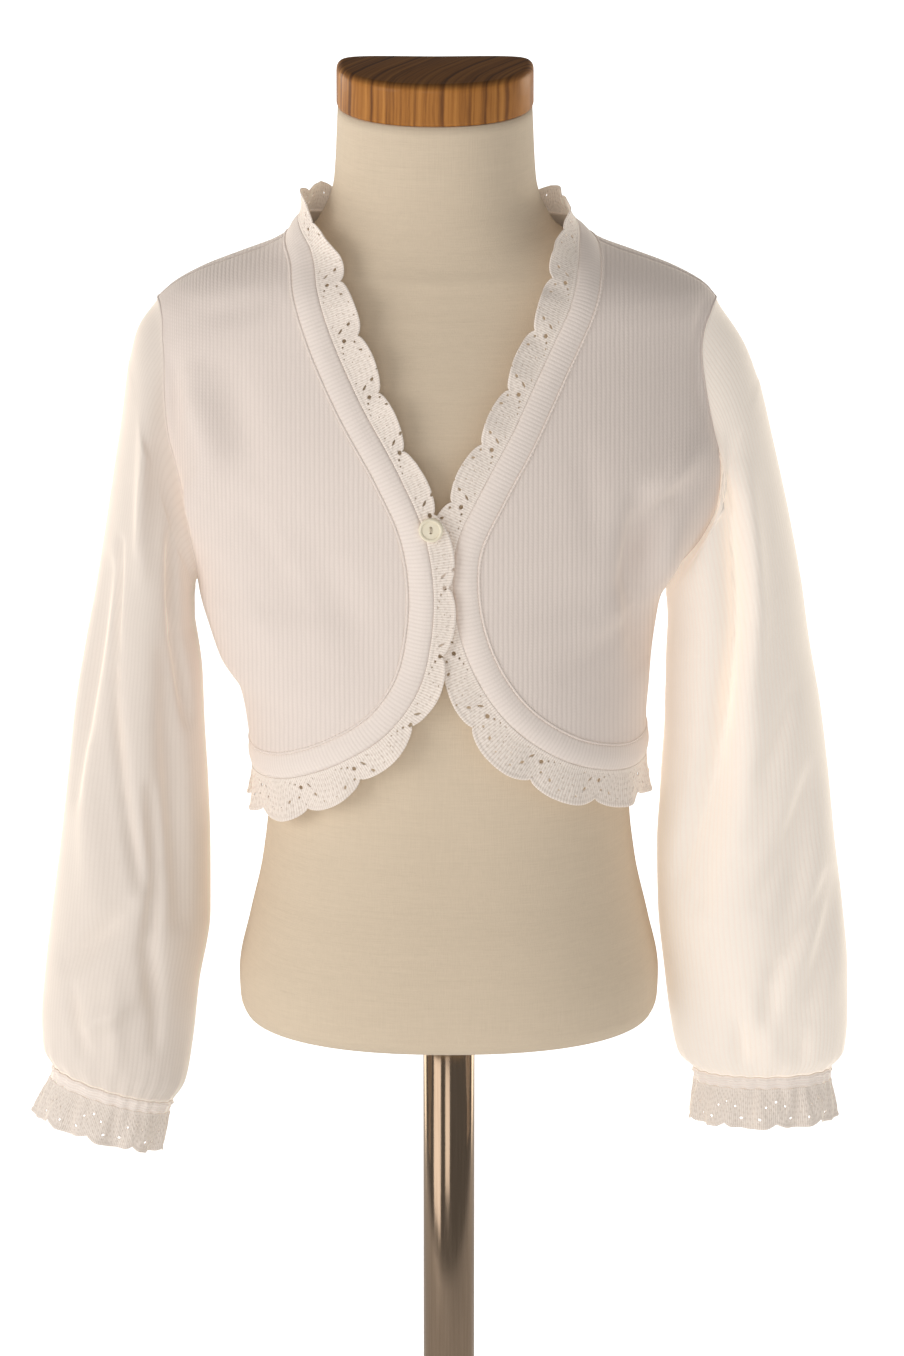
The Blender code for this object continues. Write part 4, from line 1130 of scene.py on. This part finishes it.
def front_panel(side):
    neck = route.neck[side]
    hem = route.side_seam[side]
    last_h = float(route.on_seam(hem)[0, 2]) + SIDE_SEAM_END

    def shape(u, v):
        outer = side_edge(side, -1, v, last_h)
        inner = route.on_seam(neck + (hem - neck) * v)
        free = ease(u / 0.12) * ease((1.0 - u) / 0.10)
        return panel_points(inner + (outer - inner) * u[:, None], free, -1)

    return lay_cloth("knit_front_" + SIDES[side], "front_" + SIDES[side], shape, wrap, 56, 108,
                     PANEL_WALL, body_knit)


fronts = {side: front_panel(side) for side in SIDES}

# %% Back
SHOULDER_SHARE = 0.2          # of the back's upper edge, at each end


def back_panel():
    low = {side: float(route.on_seam(route.side_seam[side])[0, 2]) for side in SIDES}
    foot = {side: settle(np.array([[side * SIDE_SEAM_X, 0.0, low[side]]]))[0] for side in SIDES}
    shoulder = {side: armhole(side, np.array([0.0])) for side in SIDES}
    neck_end = {side: route.on_seam(route.neck[side]) for side in SIDES}

    def top_edge(u):
        share = np.clip((u - SHOULDER_SHARE) / (1.0 - 2.0 * SHOULDER_SHARE), 0.0, 1.0)
        from_middle = 1.0 - 2.0 * share
        place = np.where(share <= 0.5, route.neck[-1] * from_middle,
                         route.length + (route.length - route.neck[1]) * from_middle)
        edge = route.on_seam(place)
        for side, way in ((-1, u / SHOULDER_SHARE), (1, (1.0 - u) / SHOULDER_SHARE)):
            line = settle(shoulder[side] + (neck_end[side] - shoulder[side]) * way[:, None])
            edge = np.where(way[:, None] < 1.0, line, edge)
        return edge

    def shape(u, v):
        u1 = u[:, None]
        v1 = v[:, None]
        hem_place = route.side_seam[-1] + (route.side_seam[1] - route.side_seam[-1]) * u
        bottom = route.on_seam(hem_place)
        right = side_edge(-1, 1, v, low[-1])
        left = side_edge(1, 1, v, low[1])
        corners = ((shoulder[-1] * (1 - u1) + shoulder[1] * u1) * (1 - v1)
                   + (foot[-1] * (1 - u1) + foot[1] * u1) * v1)
        points = (right * (1 - u1) + left * u1 + top_edge(u) * (1 - v1) + bottom * v1) - corners
        points = np.where(v1 > 0.9999, bottom, points)
        free = ease(np.minimum(np.minimum(u, 1 - u), np.minimum(v, 1 - v)) / 0.10)
        return panel_points(points, free, 1)

    return lay_cloth("knit_back", "back", shape, wrap, 110, 108, PANEL_WALL, body_knit)


back = back_panel()

# %% [markdown]
# ## Bands and the seam's chain
#
# The band is knitted on and folded double, so it is a soft roll about 12 mm wide that stands
# higher than the panel. Along its seam runs a chain of small stitches, which shows as a pale
# beaded line. The band bulges by a sine across its width, and the chain is a beaded cord.

# %% Bands
BAND_WALL = 0.0013
BAND_BULGE = 0.0012
BAND_CELL = 0.0022
LENGTHS = {
    -1: (0.0, route.side_seam[-1], "right"),
    0: (route.side_seam[-1], route.side_seam[1], "hem"),
    1: (route.side_seam[1], route.length, "left"),
}


def edge_lift(place, distance, side):
    """How far a band or its lace stands off the surface: the right edge lies over the left."""
    if side == 0:
        return np.zeros_like(distance)
    _, y, h = route.on_seam(place).T
    near = ease(1.0 - np.abs(h - OVERLAP_MIDDLE) / OVERLAP_REACH) * (y < 0)
    lift = OVERLAP_LIFT if side < 0 else -UNDERLAP_DROP
    return lift * near * ease(distance / BAND_WIDTH)


def band(side):
    start, end, which = LENGTHS[side]
    length = end - start

    def shape(u, v):
        place = start + length * u
        distance = BAND_WIDTH * v
        lift = edge_lift(place, distance, side) + BAND_BULGE * np.sin(math.pi * v)
        return route.at(place, distance, lift)

    return lay_cloth("knit_band_" + which, "band_" + which, shape,
                     lambda u, v, points: (length * u, BAND_WIDTH * v),
                     round(length / BAND_CELL), 8, BAND_WALL, band_knit)


bands = {side: band(side) for side in LENGTHS}

# %% Chains
CHAIN_RADIUS = 0.0007
CHAIN_PITCH = 0.0021
CHAIN_OUT = -0.0003           # it lies just outside the seam, a little sunk in
CHAIN_SINK = -0.0001
for start, end, which in LENGTHS.values():
    place = np.arange(start, end, CHAIN_PITCH / 5.0)
    points, normals = route.at(place, np.full_like(place, CHAIN_OUT),
                               np.full_like(place, CHAIN_SINK))
    cord_along("seam_chain_" + which, points, normals, CHAIN_RADIUS, band_knit, beads=0.14,
               pitch=CHAIN_PITCH)

# %% [markdown]
# ## Scalloped lace
#
# The lace repeats every 30 mm: eyelets spread in a V from one large hole near the band, one arm
# to each side of the notch, and a fan of ribs fills the scallop between them. The holes are cut in
# the flat grid, where each is a plain ellipse, and their rims are drawn onto that ellipse. The
# ribs, rims and corded edge are raised when the strip is laid on the body.

# %% Lace motif
LACE_CELL = 0.00052
LACE_WALL = 0.0006
MOTIF_DEPTH = 0.0190
EYELETS = in_metres((4,), (
    # along from the notch, out from the band, half size along, half size out, turn in degrees
    (0, 5.2, 0.98, 1.02, 0),
    (-5.2, 5, 0.47, 1.61, 35),
    (-7.4, 10, 0.64, 1.02, 30),
    (-10.8, 14.2, 0.42, 0.51, 0),
    (2.7, 3.4, 0.51, 0.51, 0),
    (5.5, 2.5, 0.42, 0.42, 0),
    (8.4, 1.9, 0.34, 0.34, 0),
    (-8.8, 2.4, 0.38, 0.38, 0),
    (2.3, 9.8, 0.55, 0.59, 0),
    (7.2, 11.2, 0.51, 0.94, -25),
    (12.2, 13.8, 0.42, 0.42, 0),
    (0, 13.6, 0.38, 0.42, 0),
    (11.2, 5, 0.32, 0.32, 0),
    (11.8, 7.8, 0.32, 0.32, 0),
    (-13.6, 6.2, 0.32, 0.32, 0),
    (-13.3, 9.4, 0.32, 0.32, 0),
))


def eyelet_distance(along, out, eyelet, pitch):
    """Distance from an eyelet's middle in units of its own size, 1 on its rim, with offsets."""
    s0, t0, size_s, size_t, turn = eyelet
    gap = along - s0
    gap = gap - pitch * np.round(gap / pitch)
    up = out - t0
    c = math.cos(math.radians(turn))
    s = math.sin(math.radians(turn))
    return np.hypot((gap * c + up * s) / size_s, (up * c - gap * s) / size_t) + 1e-9, gap, up


def eyelet_cutter(deep_at, run, pitch, eyelets):
    """A function that deletes the grid faces inside eyelets and draws their rims round.

    The strip is deep_at(u) deep. Its run is its length, below 0 where the motif is turned over.
    """
    def cut(mesh):
        faces = list(mesh.faces)
        u, v = np.array([face.calc_center_median()[:2] for face in faces]).T
        inside = np.zeros(len(faces), dtype=bool)
        for eyelet in eyelets:
            inside |= eyelet_distance(run * u, deep_at(u) * v, eyelet, pitch)[0] < 1.0
        gone = [face for face, hole in zip(faces, inside) if hole]
        bmesh.ops.delete(mesh, geom=gone, context="FACES")
        rim = [vert for vert in mesh.verts
               if vert.is_boundary and all(1e-4 < share < 1.0 - 1e-4 for share in vert.co[:2])]
        u, v = np.array([vert.co[:2] for vert in rim]).T
        best = np.full(len(rim), 9.0)
        shift = np.zeros((len(rim), 2))
        for eyelet in eyelets:
            away, gap, up = eyelet_distance(run * u, deep_at(u) * v, eyelet, pitch)
            step = (1.0 / away - 1.0)[:, None] * np.stack((gap, up), axis=-1)
            shift = np.where((away < best)[:, None], step, shift)
            best = np.minimum(best, away)
        shift = np.clip(shift, -LACE_CELL, LACE_CELL)
        for vert, move, deep in zip(rim, shift, deep_at(u)):
            vert.co.x += move[0] / run
            vert.co.y += move[1] / deep
    return cut


# %% Lace relief
FAN_RIBS = 9
FAN_ROOT = -0.0050
FAN_HALF_TURN = 0.62          # how far the fan opens to each side, in radians
RIM_RISE = 0.00022
RIB_RISE = 0.00010
EDGE_RISE = 0.00035
ROOT_RISE = 0.00025


def lace_relief(along, out, depth, pitch, eyelets):
    """How far the lace's threads stand up: rims of the eyelets, ribs of the fan, corded edge."""
    rise = np.zeros_like(along)
    for eyelet in eyelets:
        away = eyelet_distance(along, out, eyelet, pitch)[0]
        rise = np.maximum(rise, RIM_RISE * np.exp(-((away - 1.5) / 0.55) ** 2))
    from_crest = along - pitch / 2.0
    from_crest = from_crest - pitch * np.round(from_crest / pitch)
    turn = np.arctan2(from_crest, out - FAN_ROOT)
    fan = ease((FAN_HALF_TURN - np.abs(turn)) / 0.10) * ease((depth - 0.0022 - out) / 0.0015)
    rise = rise + RIB_RISE * fan * (1.0 + np.cos(math.pi * turn * FAN_RIBS / FAN_HALF_TURN))
    edge = np.exp(-((out - depth + 0.0009) / 0.0008) ** 2)
    root = np.exp(-((out - 0.0008) / 0.0008) ** 2)
    return rise + EDGE_RISE * edge + ROOT_RISE * root


def scalloped(u, deep, dip, scallops):
    """The depth of a scalloped strip, which is deep at its crests and less by dip between them."""
    return deep - dip * (1.0 - np.sqrt(np.abs(np.sin(math.pi * scallops * u))))


# %% Lace strips
def lay_lace(name, node, shape, deep_at, run, scallops, eyelets, cell, deepest, material,
             closed=False):
    """A strip of lace with its holes cut. On the table a scallop is SCALLOP_PITCH wide."""
    flat_run = math.copysign(SCALLOP_PITCH * scallops, run)
    return lay_cloth(name, node, shape, lambda u, v, points: (flat_run * u, deep_at(u) * v),
                     round(abs(run) / cell), round(deepest / cell), LACE_WALL, material,
                     closed=closed, cut=eyelet_cutter(deep_at, run, abs(run) / scallops, eyelets),
                     edge=lambda u, v: deep_at(u) * (1.0 - v))


def lace(side):
    start, end, which = LENGTHS[side]
    length = end - start
    scallops = round(length / SCALLOP_PITCH)
    run = -length if side > 0 else length

    def deep_at(u):
        deep = curve_through(LACE_DEPTHS, (start + length * u) / route.length)[..., 0]
        return scalloped(u, deep, SCALLOP_DIP, scallops)

    def shape(u, v):
        place = start + length * u
        deep = deep_at(u)
        out = deep * v
        turn = 2.0 * math.pi * scallops * u
        _, y, h = route.on_seam(place).T
        pressed = ease(np.abs(h - OVERLAP_MIDDLE) / OVERLAP_REACH - 0.15)
        free = np.where(y < 0, pressed, 1.0)
        wave = LACE_WAVE * free * v ** 1.5 * (1.0 - np.cos(turn + 0.7))
        wave += 0.0004 * free * v * np.sin(2.0 * turn + 1.3 + 3.0 * np.sin(9.0 * u))
        relief = lace_relief(run * u, out, deep, length / scallops, EYELETS)
        lift = wave + edge_lift(place, BAND_WIDTH + out, side) + relief
        return route.at(place, BAND_WIDTH + out, lift)

    return lay_lace("lace_edging_" + which, "lace_" + which, shape, deep_at, run, scallops,
                    EYELETS, LACE_CELL, MOTIF_DEPTH, lace_knit)


laces = {side: lace(side) for side in LENGTHS}

# %% [markdown]
# ## Sleeves
#
# A set-in sleeve starts on the armhole and soon becomes a loose tube that narrows at the wrist.
# It is laid out as rings from shoulder to cuff. Its folds are long and soft: one crease under the
# arm, slanting troughs above the cuff, and a pleat that the cuff gathers in.

# %% Sleeves
SLEEVE_RADIUS = 0.036         # turns a fold's angle into a length round the sleeve
SLEEVE_HEAD = 0.20            # the share of the length in which the armhole's shape fades
SLEEVE_WALL = 0.0013
SLEEVE_FOLD_GAIN = 2.0
SLEEVE_ROUND = 0.236          # the flat sleeve's width at the upper arm
SLEEVE_LONG = 0.385


def sleeve_ring(side, angle, v):
    """A point of the sleeve's rings, with no armhole. The angle is 0 on the outer line."""
    outer_x, outer_h, inner_x, inner_h, front, back = read_columns(SLEEVE_ROWS[side], v)
    out = np.cos(angle)
    forward = np.sin(angle)
    x = side * ((outer_x + inner_x) + (outer_x - inner_x) * out) / 2.0
    h = ((outer_h + inner_h) + (outer_h - inner_h) * out) / 2.0
    y = -np.where(forward > 0, front, back) * forward
    return np.stack((x, y, h), axis=-1)


def sleeve_point(side, angle, v):
    """A point of the sleeve, which starts on the armhole seam and soon follows its rings."""
    start = sleeve_ring(side, angle, np.zeros_like(v))
    hold = 1.0 - ease(v / SLEEVE_HEAD)
    return sleeve_ring(side, angle, v) + (armhole(side, angle) - start) * hold[..., None]


def sleeve_surface(side, u, v):
    """Sleeve points with their folds, and the way out of the tube. v goes down the sleeve."""
    angle = 2.0 * math.pi * u
    points = sleeve_point(side, angle, v)
    small = 0.001
    round_way = sleeve_point(side, angle + small, v) - sleeve_point(side, angle - small, v)
    down_way = (sleeve_point(side, angle, np.minimum(v + small, 1.0))
                - sleeve_point(side, angle, np.maximum(v - small, 0.0)))
    outward = unit(np.cross(round_way, down_way)) * side
    folds = [(math.radians(a0) * SLEEVE_RADIUS, h0, math.radians(a1) * SLEEVE_RADIUS, h1,
              half_width, rise) for a0, h0, a1, h1, half_width, rise in SLEEVE_FOLDS[side]]
    rise = np.zeros_like(v)
    for turn in (-1.0, 0.0, 1.0):
        rise += fold_rise((angle + turn * 2.0 * math.pi) * SLEEVE_RADIUS, points[:, 2], folds)
    rise *= SLEEVE_FOLD_GAIN * ease(v / 0.06) * ease((1.0 - v) / 0.05)
    gathers = 0.0003 * np.sin(23.0 * angle + 2.0 * np.sin(3.0 * angle)) * ease((v - 0.93) / 0.06)
    return points + outward * (rise + gathers)[:, None], outward


def sleeve(side):
    return lay_cloth("knit_sleeve_" + SIDES[side], "sleeve_" + SIDES[side],
                     lambda u, v: sleeve_surface(side, u, v),
                     lambda u, v, points: (SLEEVE_ROUND * u, SLEEVE_LONG * (1.0 - v)),
                     104, 170, SLEEVE_WALL, sleeve_knit[side], closed=True, relax_to=0.15)


sleeves = {side: sleeve(side) for side in SIDES}

# %% Armhole and shoulder seams
SEAM_RADIUS = 0.0005


def seam(name, points, sink):
    """A plain cord on the body surface, sunk in a little."""
    normals = unit(body_slope(points))
    cord_along(name, points - normals * sink, normals, SEAM_RADIUS, body_knit)


for side, which in SIDES.items():
    seam("armhole_seam_" + which, armhole(side, np.linspace(0.0, 2.0 * math.pi, 181)), 0.0001)
    start = route.on_seam(route.neck[side])
    way = armhole(side, np.array([0.0])) - start
    seam("shoulder_seam_" + which, settle(start + way * np.linspace(0.02, 1.0, 60)[:, None]),
         0.0002)

# %% [markdown]
# ## Cuffs
#
# The cuff is a narrow raised row of stitches and a gathered strip of the same lace, with smaller
# scallops. The strip hangs from the sleeve's end, flares a little and waves from side to side.

# %% Cuffs
CUFF_WALL = 0.0010
CUFF_BAND_DEPTH = 0.0060
CUFF_LACE_DEPTH = {-1: 0.0206, 1: 0.0204}
CUFF_SCALLOPS = 9
CUFF_FLARE = 0.0010
CUFF_WAVE = 0.0014
CUFF_DIP = 0.0030
CUFF_ROUND = 0.171            # round the sleeve's end
CUFF_TUCKS = 66               # small gathers along the cuff's ridge
CUFF_CELL = 0.00042
CUFF_EYELETS = in_metres((4,), (
    # along from the notch, out from the band, half size along, half size out, turn in degrees
    (6, 15, 0.6, 0.65, 0),
    (-6, 15, 0.6, 0.65, 0),
    (0, 6.6, 0.4, 0.7, 0),
    (3.6, 8.8, 0.4, 0.6, -25),
    (-3.6, 8.8, 0.4, 0.6, 25),
))


def cuff_surface(side, u, below, flare):
    """Points that hang below the sleeve's end, and stand out from it by the flare."""
    rim = sleeve_surface(side, u, np.ones_like(u))[0]
    middle = sleeve_point(side, np.array([0.0, math.pi]), np.array([1.0, 1.0])).mean(axis=0)
    outer_x, outer_h, inner_x, inner_h = SLEEVE_ROWS[side][-1][1:5]
    down = unit(np.array((side * (outer_h - inner_h), 0.0, inner_x - outer_x)))
    radial = rim - middle
    radial = unit(radial - (radial @ down)[:, None] * down)
    return rim + down * below[:, None] + radial * flare[:, None], radial


def cuff_band(side):
    def shape(u, v):
        tucks = 1.0 + 0.25 * np.cos(CUFF_TUCKS * 2.0 * math.pi * u)
        roll = 0.0008 * tucks * np.exp(-((v - 0.22) / 0.13) ** 2) + 0.0002 * np.sin(math.pi * v)
        return cuff_surface(side, u, CUFF_BAND_DEPTH * v, roll)

    node = "cuff_band_" + SIDES[side]
    return lay_cloth(node + "_knit", node, shape,
                     lambda u, v, points: (CUFF_BAND_DEPTH * v, CUFF_ROUND * u), 330, 10,
                     CUFF_WALL, cuff_knit, closed=True)


def cuff_lace(side):
    deepest = CUFF_LACE_DEPTH[side]

    def deep_at(u):
        return scalloped(u, deepest, CUFF_DIP, CUFF_SCALLOPS)

    def shape(u, v):
        deep = deep_at(u)
        turn = CUFF_SCALLOPS * 2.0 * math.pi * u
        flare = CUFF_FLARE * np.sin(0.75 * math.pi * v)
        wave = CUFF_WAVE * v ** 1.3 * (1.0 + np.sin(turn + 0.7))
        wave += 0.0006 * v * np.sin(2.0 * turn + 4.0 * np.sin(2.0 * math.pi * u))
        wave += 0.00035 * np.cos(3.0 * turn) * ease((1.0 - v) / 0.5)
        relief = lace_relief(CUFF_ROUND * u, deep * v, deep, CUFF_ROUND / CUFF_SCALLOPS,
                             CUFF_EYELETS)
        return cuff_surface(side, u, CUFF_BAND_DEPTH + deep * v, flare + wave + relief)

    node = "cuff_lace_" + SIDES[side]
    return lay_lace(node + "_frill", node, shape, deep_at, CUFF_ROUND, CUFF_SCALLOPS,
                    CUFF_EYELETS, CUFF_CELL, deepest, cuff_lace_knit, closed=True)


cuffs = {side: (cuff_band(side), cuff_lace(side)) for side in SIDES}

# %% [markdown]
# ## The button
#
# A small shirt-like button with a raised rim and two holes one above the other, sewn on with a few
# turns of thread. The plate with its two holes is filled between three circles and extruded, and
# the rim is a ring spun round it.

# %% Where the button sits
BUTTON_H = 0.2543
BUTTON_INSET = 0.0158
BUTTON_CLEAR = 0.0003
on_right = (route.places > route.neck[-1]) & (route.places < route.side_seam[-1])
nearest = np.argmin(np.where(on_right, np.abs(route.path[:, 2] - BUTTON_H), 1.0))
place = route.places[[nearest]]
inset = np.array([BUTTON_INSET])
points, normals = route.at(place, inset, edge_lift(place, inset, -1) + BUTTON_CLEAR)
button_place = Vector(normals[0]).to_track_quat("Z", "Y").to_matrix().to_4x4()
button_place.translation = Vector(points[0]) + Vector((0.0, 0.0, TORSO_HEIGHT))

# %% Button
BUTTON_RADIUS = 0.0058
BUTTON_THICKNESS = 0.0026
BUTTON_RIM = 0.0009           # half the rim's width
BUTTON_DISH = 0.0007          # how far the plate lies below the rim
BUTTON_HOLE = 0.00065
BUTTON_HOLE_GAP = 0.00125     # from the middle to a hole's middle

mesh = bmesh.new()
bmesh.ops.create_circle(mesh, segments=64, radius=BUTTON_RADIUS - 0.0010)
for way in (-1.0, 1.0):
    hole = bmesh.ops.create_circle(mesh, segments=20, radius=BUTTON_HOLE)["verts"]
    bmesh.ops.translate(mesh, verts=hole, vec=(0.0, way * BUTTON_HOLE_GAP, 0.0))
bmesh.ops.triangle_fill(mesh, edges=mesh.edges, use_beauty=True)
top = bmesh.ops.extrude_face_region(mesh, geom=mesh.faces[:], use_keep_orig=True)["geom"]
bmesh.ops.translate(mesh, verts=[item for item in top if isinstance(item, bmesh.types.BMVert)],
                    vec=(0.0, 0.0, BUTTON_THICKNESS - BUTTON_DISH))
bmesh.ops.recalc_face_normals(mesh, faces=mesh.faces)
ring = [mesh.verts.new((BUTTON_RADIUS - BUTTON_RIM * (1.0 - math.cos(turn)), 0.0,
                        BUTTON_THICKNESS / 2.0 * (1.0 + math.sin(turn))))
        for turn in np.linspace(0.0, 2.0 * math.pi, 17)[:-1]]
edges = [mesh.edges.new(pair) for pair in zip(ring, ring[1:] + ring[:1])]
bmesh.ops.spin(mesh, geom=ring + edges, cent=(0, 0, 0), axis=(0, 0, 1), angle=2.0 * math.pi,
               steps=64, use_merge=True)
bmesh.ops.recalc_face_normals(mesh, faces=mesh.faces)
bmesh.ops.transform(mesh, matrix=button_place, verts=mesh.verts)
to_object(mesh, "ivory_button", ivory, "button", sharp=50)

# %% Button thread
THREAD_RADIUS = 0.00018
turn = np.linspace(0.0, math.pi, 17)
to_world = np.array(button_place)
for number, shift in enumerate((-0.00028, 0.0, 0.00030), 1):
    line = np.stack((shift * (1.0 + 0.5 * np.sin(turn)), BUTTON_HOLE_GAP * np.cos(turn),
                     BUTTON_THICKNESS - 0.0011 + 0.0007 * np.sin(turn)), axis=-1)
    line = line @ to_world[:3, :3].T + to_world[:3, 3] - (0.0, 0.0, TORSO_HEIGHT)
    cord_along("button_thread_%d" % number, line, np.tile(normals, (len(line), 1)),
               THREAD_RADIUS, thread_white, sides=6)

# %% [markdown]
# ## The cuffs' pieces and the panels' lengths
#
# These loops only take each cuff's band and lace, and each panel's start and end along the seam.
# A shaped piece's area is smaller than its width times its length, and both of a pair are cut
# alike. Scallops take about three tenths from a lace strip.

for side in SIDES:
    rib, frill = cuffs[side]
for side, panel in ((-1, fronts[-1]), (0, back), (1, fronts[1])):
    start, end, _ = LENGTHS[side]

# %% [markdown]
# ## Floor, light and camera
#
# The object stands on a white floor that is brighter than the cloth. The light that comes through
# the sleeves from behind is painted emission in their material. A broad soft light in front keeps
# the folds readable.

# %% Floor
FLOOR_HALF = 12.0
WHITE = (1.0, 1.0, 1.0, 1.0)
mesh = bmesh.new()
bmesh.ops.create_grid(mesh, x_segments=1, y_segments=1, size=FLOOR_HALF)
data = bpy.data.meshes.new("white_floor")
mesh.to_mesh(data)
mesh.free()
floor = bpy.data.objects.new("white_floor", data)
bpy.context.scene.collection.objects.link(floor)
paper = Surface("white floor")
seen = paper.add("LightPath", out="Is Camera Ray")
data.materials.append(paper.finish({
    "Base Color": (0.90, 0.90, 0.90, 1.0),
    "Roughness": 0.9,
    "Emission Color": WHITE,
    "Emission Strength": paper.maths("MULTIPLY_ADD", seen, 0.75, 0.35),
}))

# %% Lights
TARGET = Vector((0.0015, 0.0, TORSO_HEIGHT + 0.1605))
world = bpy.data.worlds.new("white room")
world.use_nodes = True
background = world.node_tree.nodes["Background"].inputs
background["Color"].default_value = (1.0, 0.985, 0.965, 1.0)
background["Strength"].default_value = 0.30
bpy.context.scene.world = world


def soft_light(name, place, size, power, colour):
    lamp = bpy.data.lights.new(name, "AREA")
    lamp.shape = "RECTANGLE"
    lamp.size, lamp.size_y = size
    lamp.energy = power
    lamp.color = colour
    light = bpy.data.objects.new(name, lamp)
    light.location = place
    light.rotation_euler = (TARGET - Vector(place)).to_track_quat("-Z", "Y").to_euler()
    bpy.context.scene.collection.objects.link(light)
    print(name, "power", power)


soft_light("key light", (-2.9, -2.2, 1.35), (2.2, 2.2), 46.0, (1.0, 0.97, 0.94))
soft_light("front box", (-0.45, -4.3, 1.3), (1.4, 1.1), 14.0, (1.0, 0.97, 0.94))
soft_light("back light left", (-2.2, 1.9, 0.6), (1.4, 1.4), 24.0, (1.0, 0.94, 0.82))
soft_light("back light right", (2.2, 1.9, 0.6), (1.4, 1.4), 24.0, (1.0, 0.94, 0.82))

# %% Camera
PITCH = math.radians(17.5)
DISTANCE = 4.6
FRAME_HEIGHT = 0.651          # what the picture's height covers at the target
SENSOR = 24.0
camera = bpy.data.cameras.new("camera")
camera.sensor_fit = "VERTICAL"
camera.sensor_height = SENSOR
camera.lens = SENSOR * DISTANCE / FRAME_HEIGHT
camera.clip_end = 60.0
viewer = bpy.data.objects.new("camera", camera)
viewer.location = TARGET + Vector((0.0, -math.cos(PITCH), math.sin(PITCH))) * DISTANCE
viewer.rotation_euler = (TARGET - viewer.location).to_track_quat("-Z", "Y").to_euler()
bpy.context.scene.collection.objects.link(viewer)
bpy.context.scene.camera = viewer
bpy.context.scene.view_settings.view_transform = "Standard"
print("camera lens", round(camera.lens, 1))
